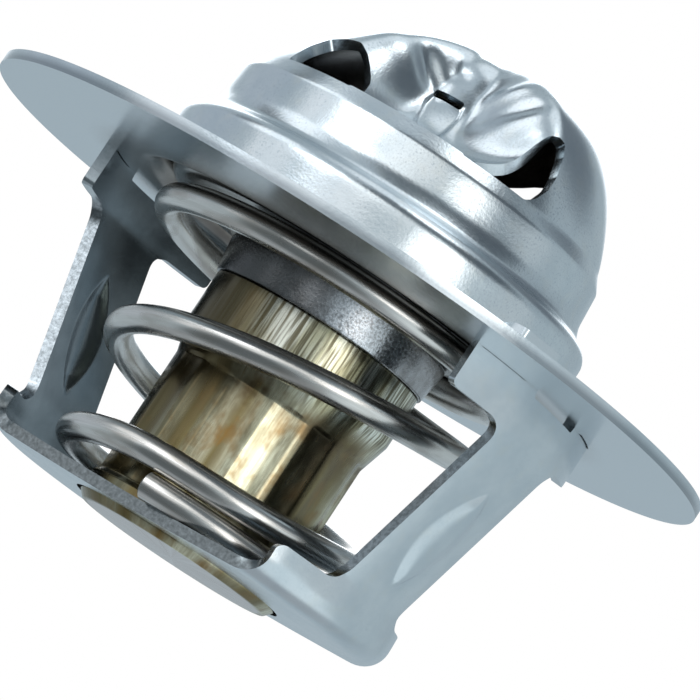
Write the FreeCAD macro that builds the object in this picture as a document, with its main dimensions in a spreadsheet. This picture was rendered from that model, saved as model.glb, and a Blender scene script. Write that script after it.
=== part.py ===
import FreeCAD, Part
import math
import os

# Engine thermostat.  Millimetres, +Z up the axis toward the domed bridge.
# The origin lies on the axis, on the underside of the flange.
# The two legs of the lower frame stand on +X and -X.

V = FreeCAD.Vector
doc = FreeCAD.newDocument("EngineThermostat")

# ---------------------------------------------------------------- dimensions
DIMS = [
    # flange and drawn shoulder
    ("sheet_thick", 0.75), ("flange_rad", 27.0), ("wall_rad", 15.5),
    ("shoulder_z", 4.95), ("step_rad", 13.95), ("step_z", 5.85),
    ("neck_rad", 13.72), ("neck_z", 8.9), ("brim_rad", 13.1), ("brim_z", 10.0),
    ("root_fillet", 1.0), ("crown_fillet", 1.1), ("step_fillet", 0.7),
    ("edge_break", 0.2),
    # hook slots in the flange
    ("slot_in", 17.8), ("slot_out", 18.82), ("slot_mid", 20.2), ("slot_span", 13.0),
    # domed bridge
    ("strap_angle", 21.0), ("strap_half", 38.0), ("valley_half", 13.0),
    # windows
    ("slot_wide", 2.15), ("slot_high", 0.5), ("slot_z", 13.95),
    # lower frame
    ("frame_thick", 0.8), ("head_rad", 18.7), ("head_z", -3.05),
    ("foot_rad", 14.95), ("foot_z", -16.2), ("base_z", -19.95),
    ("base_rise", 0.25), ("base_bend", 2.1), ("foot_inner", 1.3), ("strip_half", 8.75),
    ("leg_half", 3.85), ("notch_z", -16.9), ("notch_fillet", 1.4),
    ("ear_fillet", 1.2), ("hole_rad", 7.75), ("hook_in", 4.6), ("hook_out", 8.1),
    ("hook_reach", 20.3), ("head_notch", 3.2), ("head_notch_z", -0.45),
    ("bead_long", 4.4), ("bead_wide", 1.7), ("bead_high", 0.85), ("bead_z", -9.8),
    # return spring
    ("wire_rad", 0.975), ("coil_low", 9.6), ("coil_high", 12.9),
    ("coil_low_z", -18.17), ("coil_high_z", -0.62),
    # valve plate
    ("valve_thick", 0.8), ("valve_bore", 7.05), ("valve_hub_z", 0.2),
    ("valve_seat_rad", 11.6), ("valve_pad_z", 0.38), ("valve_rim_rad", 14.45),
    ("valve_rim_z", 4.3), ("valve_pad_out", 13.6),
    # hub collar
    ("hub_top_rad", 8.3), ("hub_low_rad", 7.9), ("hub_top_z", -0.65),
    ("hub_low_z", -3.25),
    # capsule cup
    ("cup_neck_rad", 7.0), ("cup_neck_z", 2.3), ("cup_band_rad", 7.75),
    ("cup_band_z", -6.9), ("cup_body_rad", 7.12), ("cup_body_z", -9.1),
    ("cup_foot_rad", 7.45), ("cup_foot_z", -18.5), ("cup_end_z", -20.45),
    ("cup_wall", 0.85), ("flute_count", 16), ("flute_deep", 0.32),
    ("flute_wide", 1.25), ("flute_long", 5.6),
    # inner pieces
    ("guide_flange", 6.05), ("guide_stem", 3.5), ("guide_top", 10.6),
    ("guide_low", -2.4), ("guide_bore", 2.06),
    ("piston_rad", 2.0), ("piston_low", 0.9), ("piston_top", 17.3),
    ("plug_low", -2.3), ("plug_top", 0.2), ("disc_top", 0.9),
    ("membrane_thick", 0.9), ("wax_top", -3.3), ("wax_low", -19.55), ("fitgap", 0.02),
]
sheet = doc.addObject("Spreadsheet::Sheet", "Dims")
for row, (alias, value) in enumerate(DIMS, start=1):
    sheet.set("A%d" % row, alias)
    sheet.set("B%d" % row, str(value))
    sheet.setAlias("B%d" % row, alias)
doc.recompute()


def g(alias):
    return float(getattr(sheet, alias))


# ------------------------------------------------------------------- helpers
def new_body(name):
    body = doc.addObject("PartDesign::Body", name)
    body.Label = name
    return body


def plane(body, role):
    for feat in body.Origin.OriginFeatures:
        if feat.Role == role:
            return feat
    raise RuntimeError("no " + role)


def new_sketch(body, name, role, offset=None):
    sk = body.newObject("Sketcher::SketchObject", name)
    sk.AttachmentSupport = (plane(body, role), "")
    sk.MapMode = "FlatFace"
    if offset is not None:
        sk.AttachmentOffset = offset
    return sk


def outline(sk, corners):
    """Closed straight-sided outline; each corner is (x expression, y expression)."""
    points = []
    for ex, ey in corners:
        points.append((number(ex), number(ey)))
    count = len(points)
    first = sk.GeometryCount
    for i in range(count):
        a, b = points[i], points[(i + 1) % count]
        sk.addGeometry(Part.LineSegment(V(a[0], a[1], 0), V(b[0], b[1], 0)), False)
    import Sketcher
    for i in range(count):
        sk.addConstraint(Sketcher.Constraint("Coincident", first + i, 2,
                                             first + (i + 1) % count, 1))
    for i, (ex, ey) in enumerate(corners):
        for kind, expr, val in (("DistanceX", ex, points[i][0]), ("DistanceY", ey, points[i][1])):
            if abs(val) < 1e-9:
                # a point on an axis of the sketch
                axis = -2 if kind == "DistanceX" else -1
                sk.addConstraint(Sketcher.Constraint("PointOnObject", first + i, 1, axis))
                continue
            idx = sk.addConstraint(Sketcher.Constraint(kind, -1, 1, first + i, 1, val))
            sk.setExpression("Constraints[%d]" % idx, expr)


def rounded_outline(sk, corners):
    """Closed outline of level and upright lines; a corner is (x, y, radius),
    all expressions, and the radius is None where the corner stays sharp."""
    import Sketcher
    pts = [(number(x), number(y)) for x, y, _ in corners]
    rad = [number(r) if r else 0.0 for _, _, r in corners]
    count = len(pts)
    first = sk.GeometryCount

    def toward(i, j, dist):
        a, b = pts[i], pts[j]
        size = math.hypot(b[0] - a[0], b[1] - a[1])
        return (a[0] + (b[0] - a[0]) / size * dist, a[1] + (b[1] - a[1]) / size * dist)
    lines = []
    for i in range(count):
        j = (i + 1) % count
        a, b = toward(i, j, rad[i]), toward(j, i, rad[j])
        sk.addGeometry(Part.LineSegment(V(a[0], a[1], 0), V(b[0], b[1], 0)), False)
        lines.append(first + i)
    nxt = first + count
    for i in range(count):
        before, after = lines[i - 1], lines[i]
        if not rad[i]:
            sk.addConstraint(Sketcher.Constraint("Coincident", before, 2, after, 1))
            continue
        a, b = toward(i, i - 1, rad[i]), toward(i, (i + 1) % count, rad[i])
        centre = (a[0] + b[0] - pts[i][0], a[1] + b[1] - pts[i][1])
        mid = (centre[0] + (pts[i][0] - centre[0]) * math.sqrt(0.5),
               centre[1] + (pts[i][1] - centre[1]) * math.sqrt(0.5))
        arc = Part.Arc(V(a[0], a[1], 0), V(mid[0], mid[1], 0), V(b[0], b[1], 0))
        sk.addGeometry(arc, False)
        turn = ((a[0] - centre[0]) * (b[1] - centre[1]) - (a[1] - centre[1]) * (b[0] - centre[0]))
        start, end = (1, 2) if turn > 0 else (2, 1)
        sk.addConstraint(Sketcher.Constraint("Tangent", before, 2, nxt, start))
        sk.addConstraint(Sketcher.Constraint("Tangent", nxt, end, after, 1))
        idx = sk.addConstraint(Sketcher.Constraint("Radius", nxt, rad[i]))
        sk.setExpression("Constraints[%d]" % idx, corners[i][2])
        nxt += 1
    for i in range(count):
        j = (i + 1) % count
        level = abs(pts[i][1] - pts[j][1]) < 1e-6
        sk.addConstraint(Sketcher.Constraint("Horizontal" if level else "Vertical", lines[i]))
        kind = "DistanceY" if level else "DistanceX"
        val = pts[i][1] if level else pts[i][0]
        idx = sk.addConstraint(Sketcher.Constraint(kind, -1, 1, lines[i], 1, val))
        sk.setExpression("Constraints[%d]" % idx, corners[i][1] if level else corners[i][0])


def number(expr):
    """Value of an expression made of sheet aliases, numbers and + - * /."""
    sheet_copy = expr.replace("Dims.", "")
    total = doc.getObject("Dims").evalExpression(sheet_copy)
    return float(getattr(total, "Value", total))


def revolve(body, sk, angle=360.0, groove=False, axis="V_Axis", mid=False):
    kind = "PartDesign::Groove" if groove else "PartDesign::Revolution"
    rev = body.newObject(kind, ("Cut" if groove else "Turn") + sk.Name)
    rev.Profile = sk
    rev.ReferenceAxis = (sk, [axis])
    rev.Angle = angle
    rev.Midplane = mid
    sk.Visibility = False
    return rev


def pocket(body, sk, both=True, reverse=False):
    before = body.Shape.Volume
    cut = body.newObject("PartDesign::Pocket", "Cut" + sk.Name)
    cut.Profile = sk
    cut.Type = "ThroughAll"
    cut.Midplane = both
    cut.Reversed = reverse
    doc.recompute()
    if not body.Shape.Volume < before - 1e-3:
        raise RuntimeError("pocket %s cut nothing" % sk.Name)
    return cut


def round_edges(body, name, alias, test, count=None):
    """Rounds the edges for which test(edge) is true, with the radius of a cell."""
    doc.recompute()
    base = body.Tip
    names = ["Edge%d" % (i + 1) for i, e in enumerate(base.Shape.Edges) if test(e)]
    if not names or (count is not None and len(names) != count):
        raise RuntimeError("%s: %d edges" % (name, len(names)))
    fil = body.newObject("PartDesign::Fillet", name)
    fil.Base = (base, names)
    fil.Radius = g(alias)
    fil.setExpression("Radius", "Dims." + alias)
    body.Tip = fil
    doc.recompute()
    if "Invalid" in fil.State or "Error" in fil.State or fil.Shape.isNull() \
            or not fil.Shape.isValid():
        raise RuntimeError("fillet %s failed" % name)
    return fil


def ring_at(r, z, tol=0.03):
    def test(e):
        c = e.Curve
        return (isinstance(c, Part.Circle) and abs(c.Radius - r) < tol
                and abs(c.Center.z - z) < tol and math.hypot(c.Center.x, c.Center.y) < 1e-3)
    return test


def any_of(*tests):
    return lambda e: any(t(e) for t in tests)


# -------------------------------------------------- flange bridge: base piece
# flange, root radius, drawn wall, step and neck as one turned section of
# constant sheet thickness
base = new_body("flange_base")
sk = new_sketch(base, "FlangeSection", "XZ_Plane")
T = "Dims.sheet_thick"
outline(sk, [
    ("Dims.wall_rad - " + T, "0"), ("Dims.flange_rad", "0"), ("Dims.flange_rad", T),
    ("Dims.wall_rad", T), ("Dims.wall_rad", "Dims.shoulder_z"),
    ("Dims.step_rad", "Dims.step_z"), ("Dims.neck_rad", "Dims.neck_z"),
    ("Dims.brim_rad", "Dims.brim_z"), ("Dims.brim_rad - " + T, "Dims.brim_z - 0.05"),
    ("Dims.neck_rad - 0.78", "Dims.neck_z - 0.3"),
    ("Dims.step_rad - 0.78", "Dims.step_z - 0.5"),
    ("Dims.wall_rad - " + T, "Dims.shoulder_z - 0.55"),
])
revolve(base, sk)
doc.recompute()
wr, th = g("wall_rad"), g("sheet_thick")
round_edges(base, "RootOuter", "root_fillet", ring_at(wr, th), 1)
round_edges(base, "RootInner", "crown_fillet", ring_at(wr - th, 0.0), 1)
round_edges(base, "CrownOuter", "crown_fillet", ring_at(wr, g("shoulder_z")), 1)
round_edges(base, "StepOuter", "step_fillet", ring_at(g("step_rad"), g("step_z")), 1)
round_edges(base, "BrimOuter", "step_fillet", ring_at(g("neck_rad"), g("neck_z")), 1)
round_edges(base, "FlangeEdge", "edge_break",
            ring_at(g("flange_rad"), th), 1)

# four curved slots in the flange take the hooks of the lower frame
slot_vol = base.Shape.Volume
for k, sign in enumerate((1, -1, 1, -1)):
    mid = sign * g("slot_mid") + (0 if k < 2 else 180)
    off = FreeCAD.Placement(V(0, 0, 0), FreeCAD.Rotation(V(0, 1, 0), mid))
    sk = new_sketch(base, "HookSlot%d" % k, "XZ_Plane", off)
    outline(sk, [("Dims.slot_in", "-1"), ("Dims.slot_out", "-1"),
                 ("Dims.slot_out", "Dims.sheet_thick + 1"),
                 ("Dims.slot_in", "Dims.sheet_thick + 1")])
    cut = revolve(base, sk, g("slot_span"), groove=True, mid=True)
    cut.setExpression("Angle", "Dims.slot_span")
    doc.recompute()
    if not base.Shape.Volume < slot_vol - 0.5:
        raise RuntimeError("hook slot cut nothing")
    slot_vol = base.Shape.Volume


# -------------------------------------------- flange bridge: domed upper sheet
def spline(xs, ys, x):
    """Monotone cubic through the points."""
    n = len(xs)
    hs = [xs[i + 1] - xs[i] for i in range(n - 1)]
    ds = [(ys[i + 1] - ys[i]) / hs[i] for i in range(n - 1)]
    ms = [ds[0]] + [0.0] * (n - 2) + [ds[-1]]
    for i in range(1, n - 1):
        if ds[i - 1] * ds[i] > 0:
            w1, w2 = 2 * hs[i] + hs[i - 1], hs[i] + 2 * hs[i - 1]
            ms[i] = (w1 + w2) / (w1 / ds[i - 1] + w2 / ds[i])
    i = max(0, min(n - 2, next((k for k in range(n - 1) if x <= xs[k + 1]), n - 2)))
    s = (x - xs[i]) / hs[i]
    a = (1 + 2 * s) * (1 - s) ** 2
    b = s * (1 - s) ** 2
    c = s * s * (3 - 2 * s)
    d = s * s * (s - 1)
    return a * ys[i] + b * hs[i] * ms[i] + c * ys[i + 1] + d * hs[i] * ms[i + 1]


# the arch of the strap's full arm, of its lower arm across the dome, and the
# floor and wall of the pressed-in valley
STRAP = [(13.3, 8.9), (13.0, 10.0), (12.82, 10.7), (12.3, 12.1), (11.45, 13.7),
         (10.3, 15.35), (8.85, 16.75), (7.1, 17.65), (5.4, 18.1), (3.5, 18.3),
         (1.8, 18.3), (0.7, 18.25)]
STRAP_LOW = [(13.3, 8.9), (13.0, 10.0), (12.6, 10.8), (11.87, 11.69), (10.72, 12.93),
             (9.35, 14.22), (7.87, 15.38), (6.33, 16.38), (4.88, 17.14), (3.21, 17.78),
             (1.67, 18.15), (0.7, 18.25)]
VALLEY = [(13.0, 8.9), (12.6, 9.75), (11.6, 9.97), (9.8, 10.15), (8.0, 10.55),
          (6.45, 11.25), (5.25, 12.35), (4.45, 13.7), (3.8, 15.2), (3.1, 16.7),
          (1.9, 17.85), (0.7, 18.25)]
KNOTS = [i / (len(STRAP) - 1.0) for i in range(len(STRAP))]


def smooth(x):
    x = max(0.0, min(1.0, x))
    return x * x * x * (x * (6 * x - 15) + 10)


def sheet_point(angle, t):
    """Point of the outer skin at an azimuth in degrees and a station 0..1."""
    rel = (angle - g("strap_angle")) % 180.0
    away = min(rel, 180.0 - rel)            # from the middle of the strap
    w = smooth((away - g("strap_half")) / (90.0 - g("valley_half") - g("strap_half")))
    low = smooth((1 - math.cos(math.radians(angle - g("strap_angle")))) / 2)
    r, z = [w * spline(KNOTS, [p[k] for p in VALLEY], t)
            + (1 - w) * (1 - low) * spline(KNOTS, [p[k] for p in STRAP], t)
            + (1 - w) * low * spline(KNOTS, [p[k] for p in STRAP_LOW], t) for k in (0, 1)]
    a = math.radians(angle)
    return V(r * math.cos(a), r * math.sin(a), z)


def skin_wires(depth):
    """Closed curves of the skin, sunk by a depth along its own normal."""
    wires = []
    steps = 48
    for j, t in enumerate(KNOTS):
        pts = []
        for i in range(steps):
            ang = g("strap_angle") + i * 360.0 / steps
            p = sheet_point(ang, t)
            if depth > 0:
                du = sheet_point(ang + 1.0, t) - sheet_point(ang - 1.0, t)
                e = 0.02
                dv = sheet_point(ang, min(1.0, t + e)) - sheet_point(ang, max(0.0, t - e))
                n = du.cross(dv)
                n.normalize()
                if j == 0:
                    n = V(n.x, n.y, 0)
                    n.normalize()
                if j == len(KNOTS) - 1:
                    n = V(0, 0, 1)
                p = p - n * depth
            pts.append(p)
        if j == 0 and depth > 0:
            low = [V(q.x, q.y, q.z - 0.6) for q in pts]
            wires.append(closed_curve(low))
        wires.append(closed_curve(pts))
    return wires


def closed_curve(pts):
    c = Part.BSplineCurve()
    c.interpolate(Points=pts, PeriodicFlag=True)
    return Part.Wire([c.toShape()])


outer = Part.makeLoft(skin_wires(0.0), True, False, False)
inner = Part.makeLoft(skin_wires(g("sheet_thick")), True, False, False)
dome = doc.addObject("Part::Feature", "dome_sheet")
dome.Shape = outer.cut(inner)
dome.Placement = FreeCAD.Placement()
if dome.Shape.isNull() or not dome.Shape.isValid() or dome.Shape.Volume < 50:
    raise RuntimeError("dome sheet failed")

# window openings: seen square on from the middle of each window, a is across
# and the second number is the height
WINDOW = [
    [[(4.4, 8.6), (8.75, 8.6), (9.2, 10.4), (9.4, 11.5), (9.25, 12.6), (8.75, 14.05),
      (8.3, 14.85), (7.85, 15.05), (7.3, 14.8), (6.75, 13.75), (5.85, 11.8), (4.6, 10.5)],
     [(-9.4, 8.6), (-4.2, 8.6), (-4.2, 10.6), (-4.4, 11.5), (-4.7, 12.0), (-5.2, 12.6),
      (-5.75, 13.15), (-6.6, 13.65), (-7.5, 13.4), (-8.5, 12.85), (-9.1, 11.65), (-9.4, 10.2)]],
    [[(4.2, 8.6), (9.4, 8.6), (9.4, 10.2), (9.1, 11.65), (8.5, 12.85), (7.5, 13.4),
      (6.6, 13.65), (5.75, 13.15), (5.2, 12.6), (4.7, 12.0), (4.4, 11.5), (4.2, 10.6)],
     [(-9.2, 8.6), (-2.75, 8.6), (-2.8, 12.25), (-3.4, 12.85), (-4.1, 13.35), (-4.75, 13.85),
      (-5.5, 14.3), (-6.6, 14.6), (-7.7, 14.5), (-8.7, 13.9), (-9.25, 12.6), (-9.4, 11.5),
      (-9.3, 10.3)]],
]
cutters = []
for w in range(2):
    for k, poly in enumerate(WINDOW[w]):
        tool = new_body("window_tool_%d%d" % (w, k))
        turn = FreeCAD.Placement(V(0, 0, 0), FreeCAD.Rotation(
            V(0, 1, 0), g("strap_angle") + 180.0 * w))
        sk = new_sketch(tool, "WindowEdge%d%d" % (w, k), "XZ_Plane", turn)
        outline(sk, [(str(a), str(z)) for a, z in poly])
        pad = tool.newObject("PartDesign::Pad", "WindowPad%d%d" % (w, k))
        pad.Profile = sk
        pad.Length = 16.0
        sk.Visibility = False
        doc.recompute()
        cutters.append(tool)
    tool = new_body("stake_tool_%d" % w)
    turn = FreeCAD.Placement(V(0, 0, 0), FreeCAD.Rotation(
        V(0, 1, 0), g("strap_angle") + 180.0 * w))
    sk = new_sketch(tool, "StakeEdge%d" % w, "XZ_Plane", turn)
    outline(sk, [("0.7 - Dims.slot_wide", "Dims.slot_z - Dims.slot_high / 2"),
                 ("0.7", "Dims.slot_z - Dims.slot_high / 2"),
                 ("0.7", "Dims.slot_z + Dims.slot_high / 2"),
                 ("0.7 - Dims.slot_wide", "Dims.slot_z + Dims.slot_high / 2")])
    pad = tool.newObject("PartDesign::Pad", "StakePad%d" % w)
    pad.Profile = sk
    pad.Length = 16.0
    sk.Visibility = False
    doc.recompute()
    cutters.append(tool)

pierced = dome
for k, tool in enumerate(cutters):
    cut = doc.addObject("Part::Cut", "DomeCut%d" % k)
    cut.Base = pierced
    cut.Tool = tool
    doc.recompute()
    if not cut.Shape.Volume < pierced.Shape.Volume - 0.2:
        raise RuntimeError("window %d cut nothing: %s" % (k, tool.Shape.BoundBox))
    pierced = cut
bridge = doc.addObject("Part::MultiFuse", "flange_bridge")
bridge.Shapes = [base, pierced]
bridge.Refine = False
bridge.Label = "flange_bridge"
doc.recompute()

# ---------------------------------------------------------------- lower frame
frame = new_body("lower_frame")
sk = new_sketch(frame, "FrameSection", "YZ_Plane")
F = "Dims.frame_thick"
TOP = "Dims.sheet_thick + Dims.fitgap"
outline(sk, [
    ("Dims.hole_rad", "Dims.base_z"), ("Dims.foot_rad + 0.25", "Dims.base_z + Dims.base_rise"),
    ("Dims.foot_rad + 0.1", "Dims.foot_z"),
    ("Dims.head_rad", "Dims.head_z - 0.3"), ("Dims.head_rad", TOP),
    ("Dims.hook_reach", TOP), ("Dims.hook_reach", TOP + " + " + F),
    ("Dims.head_rad - " + F, TOP + " + " + F),
    ("Dims.head_rad - " + F, "Dims.head_z - 0.4"),
    ("Dims.foot_rad + 0.1 - 0.83", "Dims.foot_z - 0.1"),
    ("Dims.foot_rad + 0.25 - 0.83", "Dims.base_z + Dims.base_rise + " + F),
    ("Dims.hole_rad", "Dims.base_z + " + F),
])
revolve(frame, sk)
doc.recompute()
# bends
round_edges(frame, "FootBend", "base_bend",
            ring_at(g("foot_rad") + 0.25, g("base_z") + g("base_rise")), 1)
round_edges(frame, "FootInner", "foot_inner",
            ring_at(g("foot_rad") + 0.25 - 0.83, g("base_z") + g("base_rise") + g("frame_thick")), 1)
round_edges(frame, "HookBend", "frame_thick",
            ring_at(g("head_rad") - g("frame_thick"),
                    g("sheet_thick") + g("fitgap") + g("frame_thick")), 1)

# the blank is a strip: everything beyond its edges goes
sk = new_sketch(frame, "StripEdges", "YZ_Plane")
outline(sk, [("Dims.strip_half", "-25"), ("30", "-25"), ("30", "5"), ("Dims.strip_half", "5")])
outline(sk, [("-Dims.strip_half", "-25"), ("-Dims.strip_half", "5"), ("-30", "5"), ("-30", "-25")])
pocket(frame, sk)
# leg windows between head and ears, with the ears' outer corners rounded
NF, EF = "Dims.notch_fillet", "Dims.ear_fillet"
LOW = "Dims.notch_z - Dims.ear_fillet - 0.04"
for side, sign in (("Front", "-"), ("Back", "")):
    sk = new_sketch(frame, "LegEdge" + side, "YZ_Plane")
    far = sign + "(Dims.strip_half + 0.01)"
    rounded_outline(sk, [
        (sign + "Dims.leg_half", "Dims.notch_z", NF), (far, "Dims.notch_z", EF),
        (far, LOW, None), (sign + "16", LOW, None), (sign + "16", "Dims.head_z", None),
        (sign + "Dims.leg_half", "Dims.head_z", NF)])
    pocket(frame, sk)
# above the head only the hooks stay
sk = new_sketch(frame, "HeadTop", "YZ_Plane")
c0 = "-Dims.fitgap"
outline(sk, [("-Dims.hook_in", c0), ("-Dims.head_notch", c0),
             ("-Dims.head_notch + 0.3", "Dims.head_notch_z"),
             ("Dims.head_notch - 0.3", "Dims.head_notch_z"),
             ("Dims.head_notch", c0), ("Dims.hook_in", c0), ("Dims.hook_in", "4"),
             ("-Dims.hook_in", "4")])
outline(sk, [("Dims.hook_out", c0), ("12", c0), ("12", "4"), ("Dims.hook_out", "4")])
outline(sk, [("-Dims.hook_out", c0), ("-Dims.hook_out", "4"), ("-12", "4"), ("-12", c0)])
pocket(frame, sk)

# stiffening bead on each leg: a lens bulged outward, hollow inside, same wall
top_z = g("head_z") - 0.3
lean = math.degrees(math.atan2(g("head_rad") - g("foot_rad") - 0.1, top_z - g("foot_z")))
frac = (g("bead_z") - g("foot_z")) / (top_z - g("foot_z"))
out_r = g("foot_rad") + 0.1 + frac * (g("head_rad") - g("foot_rad") - 0.1)


def lens(sk, half_long, half_wide):
    """Two arcs that meet in points on the upright axis."""
    import Sketcher
    ln, wd = number(half_long), number(half_wide)
    sk.addGeometry(Part.Arc(V(0, -ln, 0), V(wd, 0, 0), V(0, ln, 0)), False)
    sk.addGeometry(Part.Arc(V(0, ln, 0), V(-wd, 0, 0), V(0, -ln, 0)), False)
    sk.addConstraint(Sketcher.Constraint("Coincident", 0, 2, 1, 1))
    sk.addConstraint(Sketcher.Constraint("Coincident", 1, 2, 0, 1))
    for point, sign, val in ((1, "-", -ln), (2, "", ln)):
        sk.addConstraint(Sketcher.Constraint("PointOnObject", 0, point, -2))
        idx = sk.addConstraint(Sketcher.Constraint("DistanceY", -1, 1, 0, point, val))
        sk.setExpression("Constraints[%d]" % idx, "%s(%s)" % (sign, half_long))
    for geo in (0, 1):
        idx = sk.addConstraint(Sketcher.Constraint("Radius", geo, (ln * ln + wd * wd) / (2 * wd)))
        sk.setExpression("Constraints[%d]" % idx, "((%s) * (%s) + (%s) * (%s)) / (2 * (%s))" % (
            half_long, half_long, half_wide, half_wide, half_wide))


def leg_plane(depth):
    """Sketch plane parallel to the +X leg, sunk under its outer face."""
    rad = math.radians(lean)
    return FreeCAD.Placement(
        V(0, g("bead_z") + depth * math.sin(rad), out_r - depth * math.cos(rad)),
        FreeCAD.Rotation(V(1, 0, 0), lean))


before = frame.Shape.Volume
sk = new_sketch(frame, "BeadOuter", "YZ_Plane", leg_plane(0.4))
lens(sk, "Dims.bead_long", "Dims.bead_wide")
rise = frame.newObject("PartDesign::Pad", "BeadRise")
rise.Profile = sk
rise.Type = "Length"
rise.Length = g("bead_high")
rise.setExpression("Length", "Dims.bead_high")
rise.TaperAngle = -28
sk.Visibility = False
doc.recompute()
if not frame.Shape.Volume > before + 0.5:
    raise RuntimeError("bead added nothing")
before = frame.Shape.Volume
sk = new_sketch(frame, "BeadInner", "YZ_Plane", leg_plane(1.0))
lens(sk, "Dims.bead_long - 0.5", "Dims.bead_wide - 0.25")
sink = frame.newObject("PartDesign::Pocket", "BeadSink")
sink.Profile = sk
sink.Type = "Length"
sink.Length = g("bead_high") - 0.1
sink.setExpression("Length", "Dims.bead_high - 0.1")
sink.TaperAngle = -28
sink.Reversed = True
sk.Visibility = False
doc.recompute()
if not frame.Shape.Volume < before - 0.5:
    raise RuntimeError("bead hollow cut nothing")
pair = frame.newObject("PartDesign::PolarPattern", "BeadPair")
pair.Originals = [rise, sink]
pair.Axis = (plane(frame, "Z_Axis"), [""])
pair.Angle = 360
pair.Occurrences = 2
frame.Tip = pair
doc.recompute()

# --------------------------------------------------------------- return spring
# conical wire spring, right-handed, closed at both ends: azimuth, coil radius
# and height of the wire's centre
COIL = [(-79, 9.6, 0.0), (-55, 9.6, 0.0), (35, 9.65, 0.1), (125, 9.8, 0.42), (215, 10.05, 0.95),
        (281, 10.15, 1.98), (305, 10.2, 2.0), (395, 10.5, 3.65), (485, 10.8, 5.85),
        (575, 11.1, 8.25), (665, 11.5, 10.95), (755, 11.95, 13.3), (845, 12.5, 15.55),
        (935, 12.9, 16.95), (1025, 12.9, 17.55), (1115, 12.9, 17.55), (1190, 12.9, 17.55)]
angles = [c[0] for c in COIL]
span_z = g("coil_high_z") - g("coil_low_z")
span_r = g("coil_high") - g("coil_low")
radii = [g("coil_low") + (c[1] - 9.6) / 3.3 * span_r for c in COIL]
heights = [g("coil_low_z") + c[2] / 17.55 * span_z for c in COIL]
pts = []
count = 15 * 13
for i in range(count + 1):
    a = angles[0] + (angles[-1] - angles[0]) * i / count
    r = spline(angles, radii, a)
    z = spline(angles, heights, a)
    pts.append(V(r * math.cos(math.radians(a)), r * math.sin(math.radians(a)), z))
curve = Part.BSplineCurve()
curve.approximate(Points=pts, Tolerance=0.004, DegMin=3, DegMax=5)
spine = doc.addObject("Part::Feature", "spring_path")
spine.Shape = Part.Wire([curve.toShape()])
wire = doc.addObject("Part::Circle", "spring_wire")
wire.setExpression("Radius", "Dims.wire_rad")
tangent = curve.tangent(curve.FirstParameter)[0]
wire.Placement = FreeCAD.Placement(curve.value(curve.FirstParameter),
                                   FreeCAD.Rotation(V(0, 0, 1), tangent))
spring = doc.addObject("Part::Sweep", "return_spring")
spring.Sections = [wire]
spring.Spine = (spine, ["Edge1"])
spring.Solid = True
spring.Frenet = False
spring.Label = "return_spring"
doc.recompute()
want = curve.length() * math.pi * g("wire_rad") ** 2
if abs(spring.Shape.Volume / want - 1) > 0.02:
    raise RuntimeError("spring volume %.1f, wire gives %.1f" % (spring.Shape.Volume, want))

# ----------------------------------------------------------------- valve plate
valve = new_body("valve_plate")
sk = new_sketch(valve, "ValveSection", "XZ_Plane")
W = "Dims.valve_thick"
outline(sk, [
    ("Dims.valve_bore", "Dims.valve_hub_z - 0.8"), ("Dims.hub_top_rad + 0.2", "Dims.valve_hub_z - 0.8"),
    ("Dims.valve_seat_rad", "Dims.valve_pad_z"), ("Dims.valve_pad_out + 0.5", "Dims.valve_pad_z"),
    ("Dims.valve_rim_rad", "Dims.valve_rim_z"), ("Dims.valve_rim_rad - " + W, "Dims.valve_rim_z + 0.1"),
    ("Dims.valve_pad_out - 0.35", "Dims.valve_pad_z + " + W),
    ("Dims.valve_seat_rad - 0.15", "Dims.valve_pad_z + " + W),
    ("Dims.hub_top_rad + 0.1", "Dims.valve_hub_z"), ("Dims.valve_bore", "Dims.valve_hub_z"),
])
revolve(valve, sk)
doc.recompute()
round_edges(valve, "ValveBend", "crown_fillet",
            ring_at(g("valve_pad_out") + 0.5, g("valve_pad_z")), 1)

# ------------------------------------------------------------------ hub collar
hub = new_body("hub_collar")
sk = new_sketch(hub, "HubSection", "XZ_Plane")
outline(sk, [
    ("Dims.cup_neck_rad + Dims.fitgap", "Dims.hub_low_z + Dims.fitgap"),
    ("Dims.hub_low_rad", "Dims.hub_low_z + Dims.fitgap"),
    ("Dims.hub_top_rad", "Dims.hub_top_z"),
    ("Dims.cup_neck_rad + Dims.fitgap", "Dims.hub_top_z"),
])
revolve(hub, sk)
round_edges(hub, "HubEdge", "edge_break", ring_at(g("hub_top_rad"), g("hub_top_z"), 0.02), 1)

# ----------------------------------------------------------------- capsule cup
cup = new_body("capsule_cup")
sk = new_sketch(cup, "CupSection", "XZ_Plane")
C = "Dims.cup_wall"
outline(sk, [
    ("0", "Dims.cup_end_z - 0.12"), ("Dims.cup_foot_rad - 0.45", "Dims.cup_end_z"),
    ("Dims.cup_foot_rad", "Dims.cup_end_z + 0.5"),
    ("Dims.cup_foot_rad", "Dims.cup_foot_z"), ("Dims.cup_body_rad", "Dims.cup_foot_z + 0.35"),
    ("Dims.cup_body_rad", "Dims.cup_body_z"), ("Dims.cup_band_rad", "Dims.cup_band_z"),
    ("Dims.cup_band_rad", "Dims.hub_low_z"), ("Dims.cup_neck_rad", "Dims.hub_low_z"),
    ("Dims.cup_neck_rad", "Dims.cup_neck_z"),
    # rim rolled in over the guide
    ("Dims.guide_flange - 0.75", "Dims.cup_neck_z"), ("Dims.guide_flange - 0.75", "Dims.cup_neck_z - 0.6"),
    ("Dims.guide_flange + 0.05", "Dims.cup_neck_z - 0.75"),
    ("Dims.guide_flange + 0.05", "Dims.cup_body_z"),
    ("Dims.cup_body_rad - " + C, "Dims.cup_body_z - 0.4"),
    ("Dims.cup_body_rad - " + C, "Dims.cup_end_z + " + C), ("0", "Dims.cup_end_z + " + C),
])
revolve(cup, sk)
round_edges(cup, "CupBand", "step_fillet", ring_at(g("cup_band_rad"), g("cup_band_z")), 1)
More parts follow.
